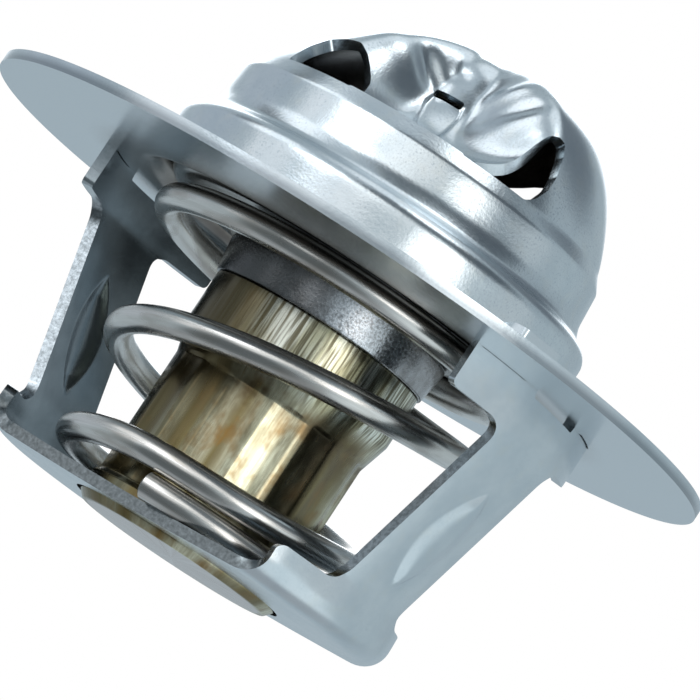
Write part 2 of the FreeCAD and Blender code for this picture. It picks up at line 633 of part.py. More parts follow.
round_edges(cup, "CupHeel", "edge_break",
            any_of(ring_at(g("cup_foot_rad") - 0.45, g("cup_end_z")),
                   ring_at(g("cup_foot_rad"), g("cup_end_z") + 0.5)), 2)
# crimped flutes in the lower wall
before = cup.Shape.Volume
flute = cup.newObject("PartDesign::SubtractiveEllipsoid", "Flute")
flute.setExpression("Radius1", "Dims.flute_long")
flute.setExpression("Radius2", "Dims.flute_deep * 2")
flute.setExpression("Radius3", "Dims.flute_wide")
flute.AttachmentSupport = [(plane(cup, "XY_Plane"), "")]
flute.MapMode = "FlatFace"
flute.AttachmentOffset = FreeCAD.Placement(
    V(g("cup_body_rad") + g("flute_deep") + 0.02, 0, -13.4), FreeCAD.Rotation())
doc.recompute()
if not cup.Shape.Volume < before - 0.05:
    raise RuntimeError("flute cut nothing")
ring = cup.newObject("PartDesign::PolarPattern", "Flutes")
ring.Originals = [flute]
ring.Axis = (plane(cup, "Z_Axis"), [""])
ring.Angle = 360
ring.Occurrences = int(g("flute_count"))
ring.setExpression("Occurrences", "Dims.flute_count")
cup.Tip = ring
doc.recompute()
if not cup.Shape.Volume < before - 0.5:
    raise RuntimeError("flute pattern cut nothing")

# --------------------------------------------------------------- capsule guide
guide = new_body("capsule_guide")
sk = new_sketch(guide, "GuideSection", "XZ_Plane")
outline(sk, [
    ("Dims.guide_bore", "Dims.guide_low"), ("Dims.guide_flange", "Dims.guide_low"),
    ("Dims.guide_flange", "Dims.cup_neck_z - 0.8"),
    ("Dims.guide_flange - 0.8", "Dims.cup_neck_z - 0.65"),
    ("Dims.guide_flange - 0.8", "Dims.cup_neck_z + 0.3"),
    ("Dims.guide_stem", "Dims.cup_neck_z + 1.2"), ("Dims.guide_stem", "Dims.guide_top - 0.5"),
    ("Dims.guide_stem - 0.5", "Dims.guide_top"), ("Dims.guide_bore", "Dims.guide_top"),
])
revolve(guide, sk)


def turned(name, corners):
    body = new_body(name)
    sketch = new_sketch(body, name + "_section", "XZ_Plane")
    outline(sketch, corners)
    revolve(body, sketch)
    return body


# ------------------------------------- diaphragm, plug, disc, piston and wax
membrane = turned("diaphragm", [
    ("0", "Dims.guide_low - Dims.membrane_thick"),
    ("Dims.guide_flange", "Dims.guide_low - Dims.membrane_thick"),
    ("Dims.guide_flange", "Dims.guide_low"), ("0", "Dims.guide_low")])
plug = turned("rubber_plug", [
    ("0", "Dims.plug_low"), ("Dims.guide_bore - 0.03", "Dims.plug_low"),
    ("Dims.guide_bore - 0.03", "Dims.plug_top"), ("0", "Dims.plug_top")])
disc = turned("seal_disc", [
    ("0", "Dims.plug_top"), ("Dims.guide_bore - 0.03", "Dims.plug_top"),
    ("Dims.guide_bore - 0.03", "Dims.disc_top"), ("0", "Dims.disc_top")])
piston = turned("piston", [
    ("0", "Dims.piston_low"), ("Dims.piston_rad", "Dims.piston_low"),
    ("Dims.piston_rad", "Dims.piston_top - 1.3"), ("Dims.piston_rad - 1.1", "Dims.piston_top"),
    ("0", "Dims.piston_top")])
wax = turned("wax_charge", [
    ("0", "Dims.wax_low"), ("Dims.cup_body_rad - 1.3", "Dims.wax_low"),
    ("Dims.cup_body_rad - 1.3", "Dims.wax_top"), ("0", "Dims.wax_top")])
doc.recompute()

# the frame is the same on both sides of both legs
quarters = []
for sx in (-1, 1):
    for sy in (-1, 1):
        block = Part.makeBox(25, 12, 26, V(0 if sx > 0 else -25, 0 if sy > 0 else -12, -22))
        quarters.append(frame.Shape.common(block).Volume)
if max(quarters) - min(quarters) > 0.5:
    raise RuntimeError("frame quarters differ: %s" % quarters)

# -------------------------------------------------------------- check and write
PIECES = [bridge, frame, spring, valve, hub, cup, guide, membrane, plug, disc, piston, wax]
for obj in doc.Objects:
    if "Invalid" in obj.State or "Error" in obj.State:
        raise RuntimeError("%s is %s" % (obj.Name, obj.State))
for obj in PIECES:
    shape = obj.Shape
    if shape.isNull() or not shape.isValid() or len(shape.Solids) != 1:
        raise RuntimeError("%s: null, invalid or %d solids" % (obj.Label, len(shape.Solids)))
os.makedirs("parts", exist_ok=True)
for obj in PIECES:
    obj.Shape.exportStep("parts/%s.step" % obj.Label)
    print("%-16s %9.2f mm3" % (obj.Label, obj.Shape.Volume))
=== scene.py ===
import math

import bmesh
import bpy
import numpy as np
from mathutils import Matrix, Vector
from mathutils.geometry import delaunay_2d_cdt


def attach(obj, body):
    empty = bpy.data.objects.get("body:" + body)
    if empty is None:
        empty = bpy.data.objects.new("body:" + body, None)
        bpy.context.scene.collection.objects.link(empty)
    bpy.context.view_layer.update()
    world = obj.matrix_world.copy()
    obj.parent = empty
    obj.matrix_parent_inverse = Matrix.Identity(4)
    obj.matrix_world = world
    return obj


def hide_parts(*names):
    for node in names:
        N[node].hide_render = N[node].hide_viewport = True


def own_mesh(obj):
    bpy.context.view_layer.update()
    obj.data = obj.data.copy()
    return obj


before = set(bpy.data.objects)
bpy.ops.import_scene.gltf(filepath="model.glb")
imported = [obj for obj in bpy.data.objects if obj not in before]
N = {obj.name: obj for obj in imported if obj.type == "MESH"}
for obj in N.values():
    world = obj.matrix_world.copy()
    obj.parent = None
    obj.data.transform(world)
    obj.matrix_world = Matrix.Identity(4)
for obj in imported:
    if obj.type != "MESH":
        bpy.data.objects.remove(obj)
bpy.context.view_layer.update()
MM = 0.001


# ------------------------------------------------------------------ mesh tools
def make_object(name, verts_mm, faces, body, smooth=True, slot=None, nodes=()):
    me = bpy.data.meshes.new(name)
    me.from_pydata([tuple(float(c) * MM for c in v) for v in verts_mm], [], [tuple(int(i) for i in f) for f in faces])
    me.validate()
    me.update()
    ob = bpy.data.objects.new(name, me)
    bpy.context.scene.collection.objects.link(ob)
    if smooth:
        me.polygons.foreach_set("use_smooth", [True] * len(me.polygons))
    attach(ob, body)
    if nodes:
        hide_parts(*nodes)
    return ob


def sharpen(ob, degrees):
    """Marks edges sharper than an angle, so that smooth shading stops there."""
    bm = bmesh.new()
    bm.from_mesh(ob.data)
    bmesh.ops.recalc_face_normals(bm, faces=bm.faces)
    limit = math.radians(degrees)
    for e in bm.edges:
        if len(e.link_faces) == 2:
            e.smooth = e.calc_face_angle(0.0) < limit
    bm.to_mesh(ob.data)
    bm.free()


def soften(ob, width_mm, segments=2, degrees=40):
    mod = ob.modifiers.new("EdgeRound", "BEVEL")
    mod.width = width_mm * MM
    mod.segments = segments
    mod.limit_method = "ANGLE"
    mod.angle_limit = math.radians(degrees)
    mod.harden_normals = False
    return mod


def fillet_path(points, step_deg=12.0):
    """Polyline through corners (x, y, radius); each radius becomes an arc."""
    out = []
    n = len(points)
    for i, (x, y, r) in enumerate(points):
        if r <= 0 or i in (0, n - 1):
            out.append((x, y))
            continue
        p = np.array([x, y])
        a = np.array(points[i - 1][:2]) - p
        b = np.array(points[i + 1][:2]) - p
        la, lb = np.linalg.norm(a), np.linalg.norm(b)
        a, b = a / la, b / lb
        ang = math.acos(max(-1.0, min(1.0, float(a @ b))))
        if ang > math.pi - 1e-3:
            out.append((x, y))
            continue
        cut = min(r / math.tan(ang / 2), 0.49 * la, 0.49 * lb)
        rad = cut * math.tan(ang / 2)
        mid = (a + b) / np.linalg.norm(a + b)
        centre = p + mid * (rad / math.sin(ang / 2))
        s, e = p + a * cut - centre, p + b * cut - centre
        t0, t1 = math.atan2(s[1], s[0]), math.atan2(e[1], e[0])
        d = (t1 - t0 + math.pi) % (2 * math.pi) - math.pi
        k = max(2, int(math.ceil(abs(math.degrees(d)) / step_deg)))
        for j in range(k + 1):
            t = t0 + d * j / k
            out.append((centre[0] + rad * math.cos(t), centre[1] + rad * math.sin(t)))
    return out


def densify(path, step):
    out = [path[0]]
    for a, b in zip(path[:-1], path[1:]):
        d = math.hypot(b[0] - a[0], b[1] - a[1])
        k = max(1, int(math.ceil(d / step)))
        for j in range(1, k + 1):
            out.append((a[0] + (b[0] - a[0]) * j / k, a[1] + (b[1] - a[1]) * j / k))
    return out


def lathe(name, path, count, body, shift=None, closed=True, **kw):
    """Turns a path of (r, z) round Z. shift(angle, r, z) gives a new r and z.
    Points on the axis become one vertex."""
    verts, rings = [], []
    for r, z in path:
        if r < 1e-6:
            rings.append([len(verts)])
            verts.append((0.0, 0.0, z))
            continue
        ring = []
        for i in range(count):
            a = 2 * math.pi * i / count
            rr, zz = (r, z) if shift is None else shift(a, r, z)
            ring.append(len(verts))
            verts.append((rr * math.cos(a), rr * math.sin(a), zz))
        rings.append(ring)
    faces = []
    pairs = list(zip(rings, rings[1:] + rings[:1])) if closed else list(zip(rings[:-1], rings[1:]))
    for a, b in pairs:
        if len(a) == 1 and len(b) == 1:
            continue
        for i in range(count):
            j = (i + 1) % count
            if len(a) == 1:
                faces.append((a[0], b[j], b[i]))
            elif len(b) == 1:
                faces.append((a[i], a[j], b[0]))
            else:
                faces.append((a[i], a[j], b[j], b[i]))
    return make_object(name, verts, faces, body, **kw)


def inside(loops, pts):
    """Even-odd test of points against closed loops."""
    pts = np.asarray(pts, float)
    odd = np.zeros(len(pts), bool)
    x, y = pts[:, 0], pts[:, 1]
    for loop in loops:
        q = np.asarray(loop, float)
        for (x0, y0), (x1, y1) in zip(q, np.roll(q, -1, axis=0)):
            if y0 == y1:
                continue
            hit = (y0 > y) != (y1 > y)
            if not hit.any():
                continue
            xc = x0 + (y - y0) * (x1 - x0) / (y1 - y0)
            odd ^= hit & (x < xc)
    return odd


def near_loops(loops, pts, dist):
    """True for points closer than dist to a loop's vertices."""
    pts = np.asarray(pts, float)
    bad = np.zeros(len(pts), bool)
    cell = dist
    table = {}
    allp = np.concatenate([np.asarray(q, float) for q in loops])
    for p in allp:
        table.setdefault((int(math.floor(p[0] / cell)), int(math.floor(p[1] / cell))), []).append(p)
    for i, p in enumerate(pts):
        cx, cy = int(math.floor(p[0] / cell)), int(math.floor(p[1] / cell))
        for dx in (-1, 0, 1):
            for dy in (-1, 0, 1):
                for q in table.get((cx + dx, cy + dy), ()):
                    if (p[0] - q[0]) ** 2 + (p[1] - q[1]) ** 2 < dist * dist:
                        bad[i] = True
    return bad


def sheet_mesh(name, loops, grid, place, thick, body, clear=0.12, rows=3, **kw):
    """A sheet of metal: loops bound its flat pattern (even-odd), grid holds the
    inner points of the pattern, and place(points) gives outer skin and normals."""
    grid = np.asarray(grid, float)
    keep = inside(loops, grid)
    grid = grid[keep]
    grid = grid[~near_loops(loops, grid, clear)]
    coords, edges, owner = [], [], []
    for loop in loops:
        first = len(coords)
        m = len(loop)
        coords.extend(tuple(p) for p in loop)
        edges.extend((first + i, first + (i + 1) % m) for i in range(m))
    rim = len(coords)
    coords.extend(map(tuple, grid))
    res = delaunay_2d_cdt([Vector(c) for c in coords], edges, [], 0, 1e-6)
    pts = np.array([list(v) for v in res[0]], float)
    tris = np.array([f for f in res[2] if len(f) == 3], int)
    cen = pts[tris].mean(axis=1)
    tris = tris[inside(loops, cen)]
    # edges used once are the rim
    a = np.sort(np.concatenate([tris[:, [0, 1]], tris[:, [1, 2]], tris[:, [2, 0]]]), axis=1)
    raw = np.concatenate([tris[:, [0, 1]], tris[:, [1, 2]], tris[:, [2, 0]]])
    key = a[:, 0].astype(np.int64) * len(pts) + a[:, 1]
    uniq, idx, cnt = np.unique(key, return_index=True, return_counts=True)
    border = raw[idx[cnt == 1]]
    used = np.unique(tris)
    remap = -np.ones(len(pts), int)
    remap[used] = np.arange(len(used))
    tris, border, pts = remap[tris], remap[border], pts[used]
    skin, norm = place(pts)
    n = len(pts)
    verts = [skin, skin - norm * thick]
    faces = [list(t) for t in tris] + [[t[0] + n, t[2] + n, t[1] + n] for t in tris]
    rim_first = len(faces)
    ring = np.unique(border)
    base = 2 * n
    layer = [dict(zip(ring, ring))]
    for k in range(1, rows):
        layer.append({v: base + i for i, v in enumerate(ring)})
        verts.append(skin[ring] - norm[ring] * thick * k / rows)
        base += len(ring)
    layer.append({v: v + n for v in ring})
    for u, v in border:
        for k in range(rows):
            faces.append([layer[k][v], layer[k][u], layer[k + 1][u], layer[k + 1][v]])
    ob = make_object(name, np.concatenate(verts), faces, body, **kw)
    m = len(tris)
    ob.data.polygons.foreach_set("material_index", [1 if i >= rim_first else 2 if i >= m else 0
                                                    for i in range(len(ob.data.polygons))])
    return ob


def spline(xs, ys, x):
    """Monotone cubic through the points, for arrays."""
    xs, ys = np.asarray(xs, float), np.asarray(ys, float)
    h = np.diff(xs)
    d = np.diff(ys) / h
    m = np.zeros(len(xs))
    m[0], m[-1] = d[0], d[-1]
    for i in range(1, len(xs) - 1):
        if d[i - 1] * d[i] > 0:
            w1, w2 = 2 * h[i] + h[i - 1], h[i] + 2 * h[i - 1]
            m[i] = (w1 + w2) / (w1 / d[i - 1] + w2 / d[i])
    x = np.clip(np.asarray(x, float), xs[0], xs[-1])
    i = np.clip(np.searchsorted(xs, x) - 1, 0, len(xs) - 2)
    s = (x - xs[i]) / h[i]
    return ((1 + 2 * s) * (1 - s) ** 2 * ys[i] + s * (1 - s) ** 2 * h[i] * m[i]
            + s * s * (3 - 2 * s) * ys[i + 1] + s * s * (s - 1) * h[i] * m[i + 1])


def smooth5(x):
    x = np.clip(x, 0.0, 1.0)
    return x * x * x * (x * (6 * x - 15) + 10)


# --------------------------------------------------------------- flange bridge
THICK = 0.75
STRAP_A = 21.0
BASE_PATH = fillet_path([
    (27.0, 0.75, 0), (15.5, 0.75, 1.0), (15.5, 4.8, 1.8), (14.3, 5.5, 0.9), (13.9, 6.5, 1.8),
    (13.72, 8.9, 0.7), (13.12, 10.0, 0)], 10.0)
STRAP = [(13.12, 10.0), (12.98, 10.45), (12.78, 11.0), (12.3, 12.1), (11.45, 13.7),
         (10.3, 15.35), (8.85, 16.75), (7.1, 17.65), (5.4, 18.1), (3.5, 18.3),
         (1.8, 18.3), (0.0, 18.3)]
STRAP_LOW = [(13.12, 10.0), (12.89, 10.37), (12.57, 10.82), (11.87, 11.69), (10.72, 12.93),
             (9.35, 14.22), (7.87, 15.38), (6.33, 16.38), (4.88, 17.14), (3.21, 17.78),
             (1.67, 18.15), (0.0, 18.3)]
VALLEY = [(13.12, 10.0), (12.7, 9.95), (11.6, 9.97), (9.8, 10.15), (8.0, 10.55), (6.45, 11.25),
          (5.25, 12.35), (4.45, 13.7), (3.8, 15.2), (3.1, 16.7), (1.9, 17.85), (0.0, 18.3)]
KNOT = np.linspace(0, 1, len(STRAP))


def arc_length(path):
    p = np.asarray(path, float)
    return np.concatenate([[0.0], np.cumsum(np.hypot(*np.diff(p, axis=0).T))])


base_len = arc_length(BASE_PATH)
DOME_LEN = 19.0                      # pattern length given to the dome's stations
TOTAL = DOME_LEN + base_len[-1]


def bridge_rz(phi, rho):
    """Skin (r, z) at an azimuth and a distance from the pattern's centre."""
    rel = np.mod(np.degrees(phi) - STRAP_A, 180.0)
    away = np.minimum(rel, 180.0 - rel)
    w = smooth5((away - 38.0) / (90.0 - 13.0 - 38.0))
    low = smooth5((1 - np.cos(phi - math.radians(STRAP_A))) / 2)
    t = np.clip(1.0 - rho / DOME_LEN, 0.0, 1.0)
    r, z = [w * spline(KNOT, [p[k] for p in VALLEY], t)
            + (1 - w) * (1 - low) * spline(KNOT, [p[k] for p in STRAP], t)
            + (1 - w) * low * spline(KNOT, [p[k] for p in STRAP_LOW], t) for k in (0, 1)]
    out = rho > DOME_LEN
    s = np.clip(base_len[-1] - (rho - DOME_LEN), 0.0, base_len[-1])
    rb = np.interp(s, base_len, [p[0] for p in BASE_PATH])
    zb = np.interp(s, base_len, [p[1] for p in BASE_PATH])
    return np.where(out, rb, r), np.where(out, zb, z)


# dents of the pressed-in flaps: azimuth from the flap's middle, station,
# half width across and along in mm, depth
DENTS = [(-31.0, 0.655, 1.05, 0.95, 0.36), (34.0, 0.37, 1.7, 1.7, 0.75), (38.0, 0.56, 0.8, 0.6, 0.2),
         (33.0, 0.68, 1.1, 0.8, -0.2), (-44.0, 0.55, 1.2, 1.1, -0.16), (-12.0, 0.77, 0.8, 0.7, 0.2),
         (18.0, 0.50, 0.8, 1.6, -0.12)]
# outline of the flat that the punch leaves below the slot
PUNCH = [(-4.0, 0.40), (-12.0, 0.50), (-18.0, 0.585), (-18.5, 0.64), (10.5, 0.645), (12.0, 0.595),
         (9.5, 0.473), (7.0, 0.41)]


def flap_dent(phi, rho, r):
    rel = np.mod(np.degrees(phi) - STRAP_A + 90.0, 180.0) - 0.0
    rel = np.where(rel > 90.0, rel - 180.0, rel)
    t = 1.0 - rho / DOME_LEN
    out = np.zeros_like(rho)
    for a, tt, wide, tall, deep in DENTS:
        du = np.radians(rel - a) * np.maximum(r, 1.0) / wide
        dv = (t - tt) * DOME_LEN / tall
        out += deep * np.exp(-(du * du + dv * dv))
    q = np.array([(math.radians(a) * 6.0, tt * DOME_LEN) for a, tt in PUNCH])
    x, y = np.radians(rel) * 6.0, t * DOME_LEN
    gap = np.full_like(rho, 1e9)           # signed distance, positive inside
    for (x0, y0), (x1, y1) in zip(q, np.roll(q, -1, axis=0)):
        ex, ey = x1 - x0, y1 - y0
        k = np.clip(((x - x0) * ex + (y - y0) * ey) / (ex * ex + ey * ey), 0, 1)
        gap = np.minimum(gap, np.hypot(x - x0 - k * ex, y - y0 - k * ey))
    gap = np.where(inside([q], np.stack([x, y], 1)), gap, -gap)
    flat = smooth5(gap / 0.45 + 0.45)
    return out + 0.2 * flat, flat


def bridge_smooth(pts):
    rho = np.hypot(pts[:, 0], pts[:, 1])
    phi = np.arctan2(pts[:, 1], pts[:, 0])
    r, z = bridge_rz(phi, rho)
    return np.stack([r * np.cos(phi), r * np.sin(phi), z], 1)


def bridge_point(pts):
    pts = np.asarray(pts, float)
    skin = bridge_smooth(pts)
    rho = np.hypot(pts[:, 0], pts[:, 1])
    on = (rho < DOME_LEN - 0.3) & (rho > 0.3)
    if on.any():
        q = pts[on]
        er = q / rho[on][:, None]
        et = np.stack([-er[:, 1], er[:, 0]], 1)
        n = np.cross(bridge_smooth(q + er * 0.05) - bridge_smooth(q - er * 0.05),
                     bridge_smooth(q + et * 0.05) - bridge_smooth(q - et * 0.05))
        n /= np.maximum(np.linalg.norm(n, axis=1), 1e-12)[:, None]
        n[(n * np.stack([er[:, 0], er[:, 1], np.ones(len(er))], 1)).sum(1) < 0] *= -1
        deep, _ = flap_dent(np.arctan2(q[:, 1], q[:, 0]), rho[on], np.hypot(skin[on][:, 0], skin[on][:, 1]))
        skin[on] -= n * deep[:, None]
    return skin


def bridge_place(pts):
    pts = np.asarray(pts, float)
    skin = bridge_point(pts)
    rho = np.maximum(np.hypot(pts[:, 0], pts[:, 1]), 1e-6)
    er = pts / rho[:, None]
    et = np.stack([-er[:, 1], er[:, 0]], 1)
    e = 0.06
    du = bridge_point(pts + er * e) - bridge_point(pts - er * np.minimum(e, rho * 0.5)[:, None])
    dv = bridge_point(pts + et * e) - bridge_point(pts - et * e)
    n = np.cross(du, dv)
    n /= np.maximum(np.linalg.norm(n, axis=1), 1e-12)[:, None]
    n[rho < 0.05] = (0, 0, 1)
    flip = (n * np.stack([er[:, 0], er[:, 1], np.ones(len(er))], 1)).sum(1) < 0
    n[flip] *= -1
    rim = rho > TOTAL - 1e-6
    n[rim] = (0, 0, 1)
    return skin, n


def window_to_pattern(a, z, turn):
    """Pattern point of the skin that a window's edge point (across, height)
    meets, seen square on from azimuth turn - 90."""
    a, z = np.asarray(a, float), np.asarray(z, float)
    lo = np.where(a > 0, math.radians(-90.0), math.radians(-179.0))
    hi = np.where(a > 0, math.radians(-1.0), math.radians(-90.0))

    def solve_rho(phi):
        r_lo, r_hi = np.zeros_like(phi), np.full_like(phi, TOTAL - 12.0)
        for _ in range(40):
            m = (r_lo + r_hi) / 2
            _, zz = bridge_rz(phi + turn, m)
            above = zz > z
            r_lo, r_hi = np.where(above, m, r_lo), np.where(above, r_hi, m)
        return (r_lo + r_hi) / 2
    for _ in range(40):
        mid = (lo + hi) / 2
        rho = solve_rho(mid)
        r, _ = bridge_rz(mid + turn, rho)
        big = r * np.cos(mid) > a
        lo, hi = np.where(big, lo, mid), np.where(big, mid, hi)
    phi = (lo + hi) / 2 + turn
    rho = solve_rho((lo + hi) / 2)
    return np.stack([rho * np.cos(phi), rho * np.sin(phi)], 1)


def closed_path(points, radius, step):
    """Closed outline with rounded corners, evenly filled."""
    pts = [tuple(p) + ((radius,) if len(p) == 2 else ()) for p in points]
    first = ((pts[0][0] + pts[-1][0]) / 2, (pts[0][1] + pts[-1][1]) / 2, 0)
    path = fillet_path([first] + pts + [first], 15.0)
    return densify(path, step)[:-1]


WINDOWS = [
    [[(4.4, 9.9, 0.1), (8.75, 9.9, 0.3), (9.2, 10.4, 0.8), (9.4, 11.5, 0.8), (9.25, 12.6, 0.8),
      (8.75, 14.05, 0.6), (8.3, 14.85, 0.3), (7.85, 15.05, 0.3), (7.3, 14.8, 0.4),
      (6.75, 13.75, 0.8), (5.85, 11.8, 0.8), (4.6, 10.5, 0.6)],
     [(-9.4, 9.9, 0.1), (-4.2, 9.9, 0.1), (-4.2, 10.6, 0.6), (-4.4, 11.5, 0.6), (-4.7, 12.0, 0.6),
      (-5.2, 12.6, 0.6), (-5.75, 13.15, 0.5), (-6.6, 13.65, 0.5), (-7.5, 13.4, 0.8),
      (-8.5, 12.85, 0.8), (-9.1, 11.65, 1.0), (-9.4, 10.2, 0.8)]],
    [[(4.2, 9.9, 0.1), (9.4, 9.9, 0.1), (9.4, 10.2, 0.8), (9.1, 11.65, 1.0), (8.5, 12.85, 0.8),
      (7.5, 13.4, 0.8), (6.6, 13.65, 0.5), (5.75, 13.15, 0.5), (5.2, 12.6, 0.6), (4.7, 12.0, 0.6),
      (4.4, 11.5, 0.6), (4.2, 10.6, 0.6)],
     [(-9.2, 9.9, 0.1), (-2.75, 9.9, 0.1), (-2.8, 12.25, 0.5), (-3.4, 12.85, 0.6), (-4.1, 13.35, 0.6),
      (-4.75, 13.85, 0.6), (-5.5, 14.3, 0.6), (-6.6, 14.6, 0.6), (-7.7, 14.5, 0.6),
      (-8.7, 13.9, 0.6), (-9.25, 12.6, 0.8), (-9.4, 11.5, 0.8), (-9.3, 10.3, 0.8)]],
]
SLOT = [(-1.45, 13.7, 0.22), (0.7, 13.7, 0.22), (0.7, 14.2, 0.22), (-1.45, 14.2, 0.22)]


def bridge_loops():
    loops = []
    n = 420
    loops.append([(TOTAL * math.cos(2 * math.pi * i / n), TOTAL * math.sin(2 * math.pi * i / n))
                  for i in range(n)])
    for w in range(2):
        turn = math.radians(STRAP_A + 180.0 * w)
        for poly in WINDOWS[w] + [SLOT]:
            path = np.array(closed_path(poly, 0.3, 0.12))
            loops.append([tuple(p) for p in window_to_pattern(path[:, 0], path[:, 1], turn)])
    for mid in (20.2, -20.2, 200.2, 159.8):
        a0, a1 = math.radians(mid - 6.5), math.radians(mid + 6.5)

        def rad(r):
            s = np.interp(-r, [-p[0] for p in BASE_PATH[:2]], [0.0, base_len[1]])
            return DOME_LEN + base_len[-1] - s
        ro, ri = rad(18.82), rad(17.8)
        arc = [(ro * math.cos(a), ro * math.sin(a)) for a in np.linspace(a0, a1, 16)]
        arc += [(ri * math.cos(a), ri * math.sin(a)) for a in np.linspace(a1, a0, 14)]
        loops.append(densify(arc + [arc[0]], 0.35)[:-1])
    return loops


def bridge_grid():
    rows = list(np.linspace(0.0, DOME_LEN, 86)[1:])
    marks = sorted(set(np.round(TOTAL - base_len, 5)))
    more = []
    for a, b in zip(marks[:-1], marks[1:]):
        k = max(1, int(math.ceil((b - a) / 0.55)))
        more += [a + (b - a) * (j + 1) / k for j in range(k)]
    rows += [m for m in more if m < TOTAL - 0.2]
    pts = [(0.0, 0.0)]
    for rho in rows:
        n = 384 if rho > 6 else 192 if rho > 2.2 else 64 if rho > 0.5 else 16
        a = np.arange(n) * 2 * math.pi / n
        pts.extend(zip(rho * np.cos(a), rho * np.sin(a)))
    return pts


bridge = sheet_mesh("bridge_sheet", bridge_loops(), bridge_grid(), bridge_place, THICK, "bridge",
                    clear=0.13, slot="zinc_steel", nodes=("flange_bridge",))
sharpen(bridge, 38)
soften(bridge, 0.06, 1, 60)


# ----------------------------------------------------------------- lower frame
F_THICK = 0.8
FRAME_PATH = fillet_path([
    (0.0, -19.95, 0), (7.75, -19.95, 0), (15.2, -19.7, 2.1), (15.05, -16.2, 0),
    (18.7, -3.35, 2.5), (18.7, 1.57, 0.9), (20.3, 1.57, 0)], 9.0)
frame_len = arc_length(FRAME_PATH)


def frame_rz(s):
    return (np.interp(s, frame_len, [p[0] for p in FRAME_PATH]),
            np.interp(s, frame_len, [p[1] for p in FRAME_PATH]))


def s_at(z):
    """Distance along the section at a height on the leg."""
    zz = np.array([p[1] for p in FRAME_PATH])
    k = int(np.searchsorted(frame_len, 14.0))
    return float(np.interp(z, zz[k:-2], frame_len[k:-2]))


def bead_height(s, y, deep, wide):
    """Stiffening bead of a leg: a lens that stands out of the sheet."""
    mid = s_at(-10.9)
    u, v = np.abs(s - mid) / 4.4, np.abs(y) / wide
    edge = 1 - u * u                      # half width share of the lens
    v = v / np.maximum(edge, 1e-3)
    prof = np.clip(1 - v * v, 0, 1) ** 1.6 * (u < 1)
    return deep * np.clip(edge * 1.8, 0, 1) * prof


def frame_place_side(sign):
    def place(pts):
        pts = np.asarray(pts, float)
        xi, y = pts[:, 0], pts[:, 1]
        s = np.hypot(xi, y)
        r, z = frame_rz(s)
        e = 0.05
        r1, z1 = frame_rz(s + e)
        r0, z0 = frame_rz(np.maximum(s - e, 0))
        tr, tz = r1 - r0, z1 - z0
        ln = np.maximum(np.hypot(tr, tz), 1e-9)
        nr, nz = tz / ln, -tr / ln
        lift = bead_height(s, y, *((0.3, 2.0) if sign > 0 else (0.55, 2.1)))
        x = np.sqrt(np.maximum(r * r - y * y, 0.0)) * np.sign(xi)
        ph = np.arctan2(y, x)
        skin = np.stack([x, y, z], 1)
        n = np.stack([nr * np.cos(ph), nr * np.sin(ph), nz], 1)
        return skin + n * lift[:, None], n
    return place


def frame_outline():
    """One quarter is written down, the other three are mirrored."""
    TOPE = s_at(0.77)
    HEAD = s_at(-3.05)
    NOTCH = s_at(-16.9)
    EAR = s_at(-18.14)
    hook = frame_len[-1]
    q = [  # (s, y, radius), from the middle of the head's top to the base's edge
        (s_at(-0.45), 0.0, 0), (s_at(-0.45), 2.9, 0.15), (TOPE - 0.02, 3.2, 0.2),
        (TOPE - 0.02, 4.6, 0.15), (hook, 4.6, 0.25), (hook, 8.1, 0.25), (TOPE - 0.02, 8.1, 0.15),
        (TOPE - 0.02, 8.75, 0.25), (HEAD, 8.75, 0.45), (HEAD, 3.85, 1.4), (NOTCH, 3.85, 1.4),
        (NOTCH, 8.75, 1.2), (EAR, 8.75, 0), (9.5, 8.75, 0)]
    path = densify(fillet_path(q, 12.0), 0.28)
    side = []
    for s, y in path:
        xi2 = s * s - y * y
        side.append((math.sqrt(max(xi2, 0.0)), y))
    side = [p for p in side if p[0] > 0.6]
    side += [(x, 8.75) for x in (0.4, 0.0)]
    mirror = [(x, -y) for x, y in side[::-1]]
    right = mirror[:] + side[1:]          # from (0,-) round the +X leg to (0,+)
    left = [(-x, y) for x, y in right[::-1]]
    loop = right + left[1:-1]
    return loop


def frame_loops():
    hole = [(7.75 * math.cos(2 * math.pi * i / 150), 7.75 * math.sin(2 * math.pi * i / 150))
            for i in range(150)]
    return [frame_outline(), hole]


def frame_grid():
    pts = []
    step = 0.27
    top = frame_len[-1]
    ys = np.arange(-8.6, 8.61, step)
    ss = np.arange(8.0, top, step)
    for sgn in (-1, 1):
        for s in ss:
            for y in ys:
                q = s * s - y * y
                if q > 0.04:
                    pts.append((sgn * math.sqrt(q), y))
    mid = s_at(-9.8)                       # closer points over the bead
    fine = [(s, y) for s in np.arange(mid - 4.9, mid + 4.9, 0.14) for y in np.arange(-2.0, 2.01, 0.11)]
    pts = [p for p in pts if not (abs(math.hypot(*p) - mid) < 4.95 and abs(p[1]) < 2.05)]
    pts += [(sgn * math.sqrt(s * s - y * y), y) for sgn in (-1, 1) for s, y in fine]
    return pts


lower = sheet_mesh("lower_sheet", frame_loops(), frame_grid(), frame_place_side(1), F_THICK, "bridge",
                   clear=0.13, slot="zinc_steel", nodes=("lower_frame",))
sharpen(lower, 38)
soften(lower, 0.09, 2, 50)


# --------------------------------------------------------------- return spring
COIL = [(-79, 9.6, 0.0), (-55, 9.6, 0.0), (35, 9.65, 0.1), (125, 9.8, 0.42), (215, 10.05, 0.95),
        (281, 10.15, 1.98), (305, 10.2, 2.0), (395, 10.5, 3.65), (485, 10.8, 5.85),
        (575, 11.1, 8.25), (665, 11.5, 10.95), (755, 11.95, 13.3), (845, 12.5, 15.55),
        (935, 12.9, 16.95), (1025, 12.9, 17.55), (1115, 12.9, 17.55), (1190, 12.9, 17.55)]


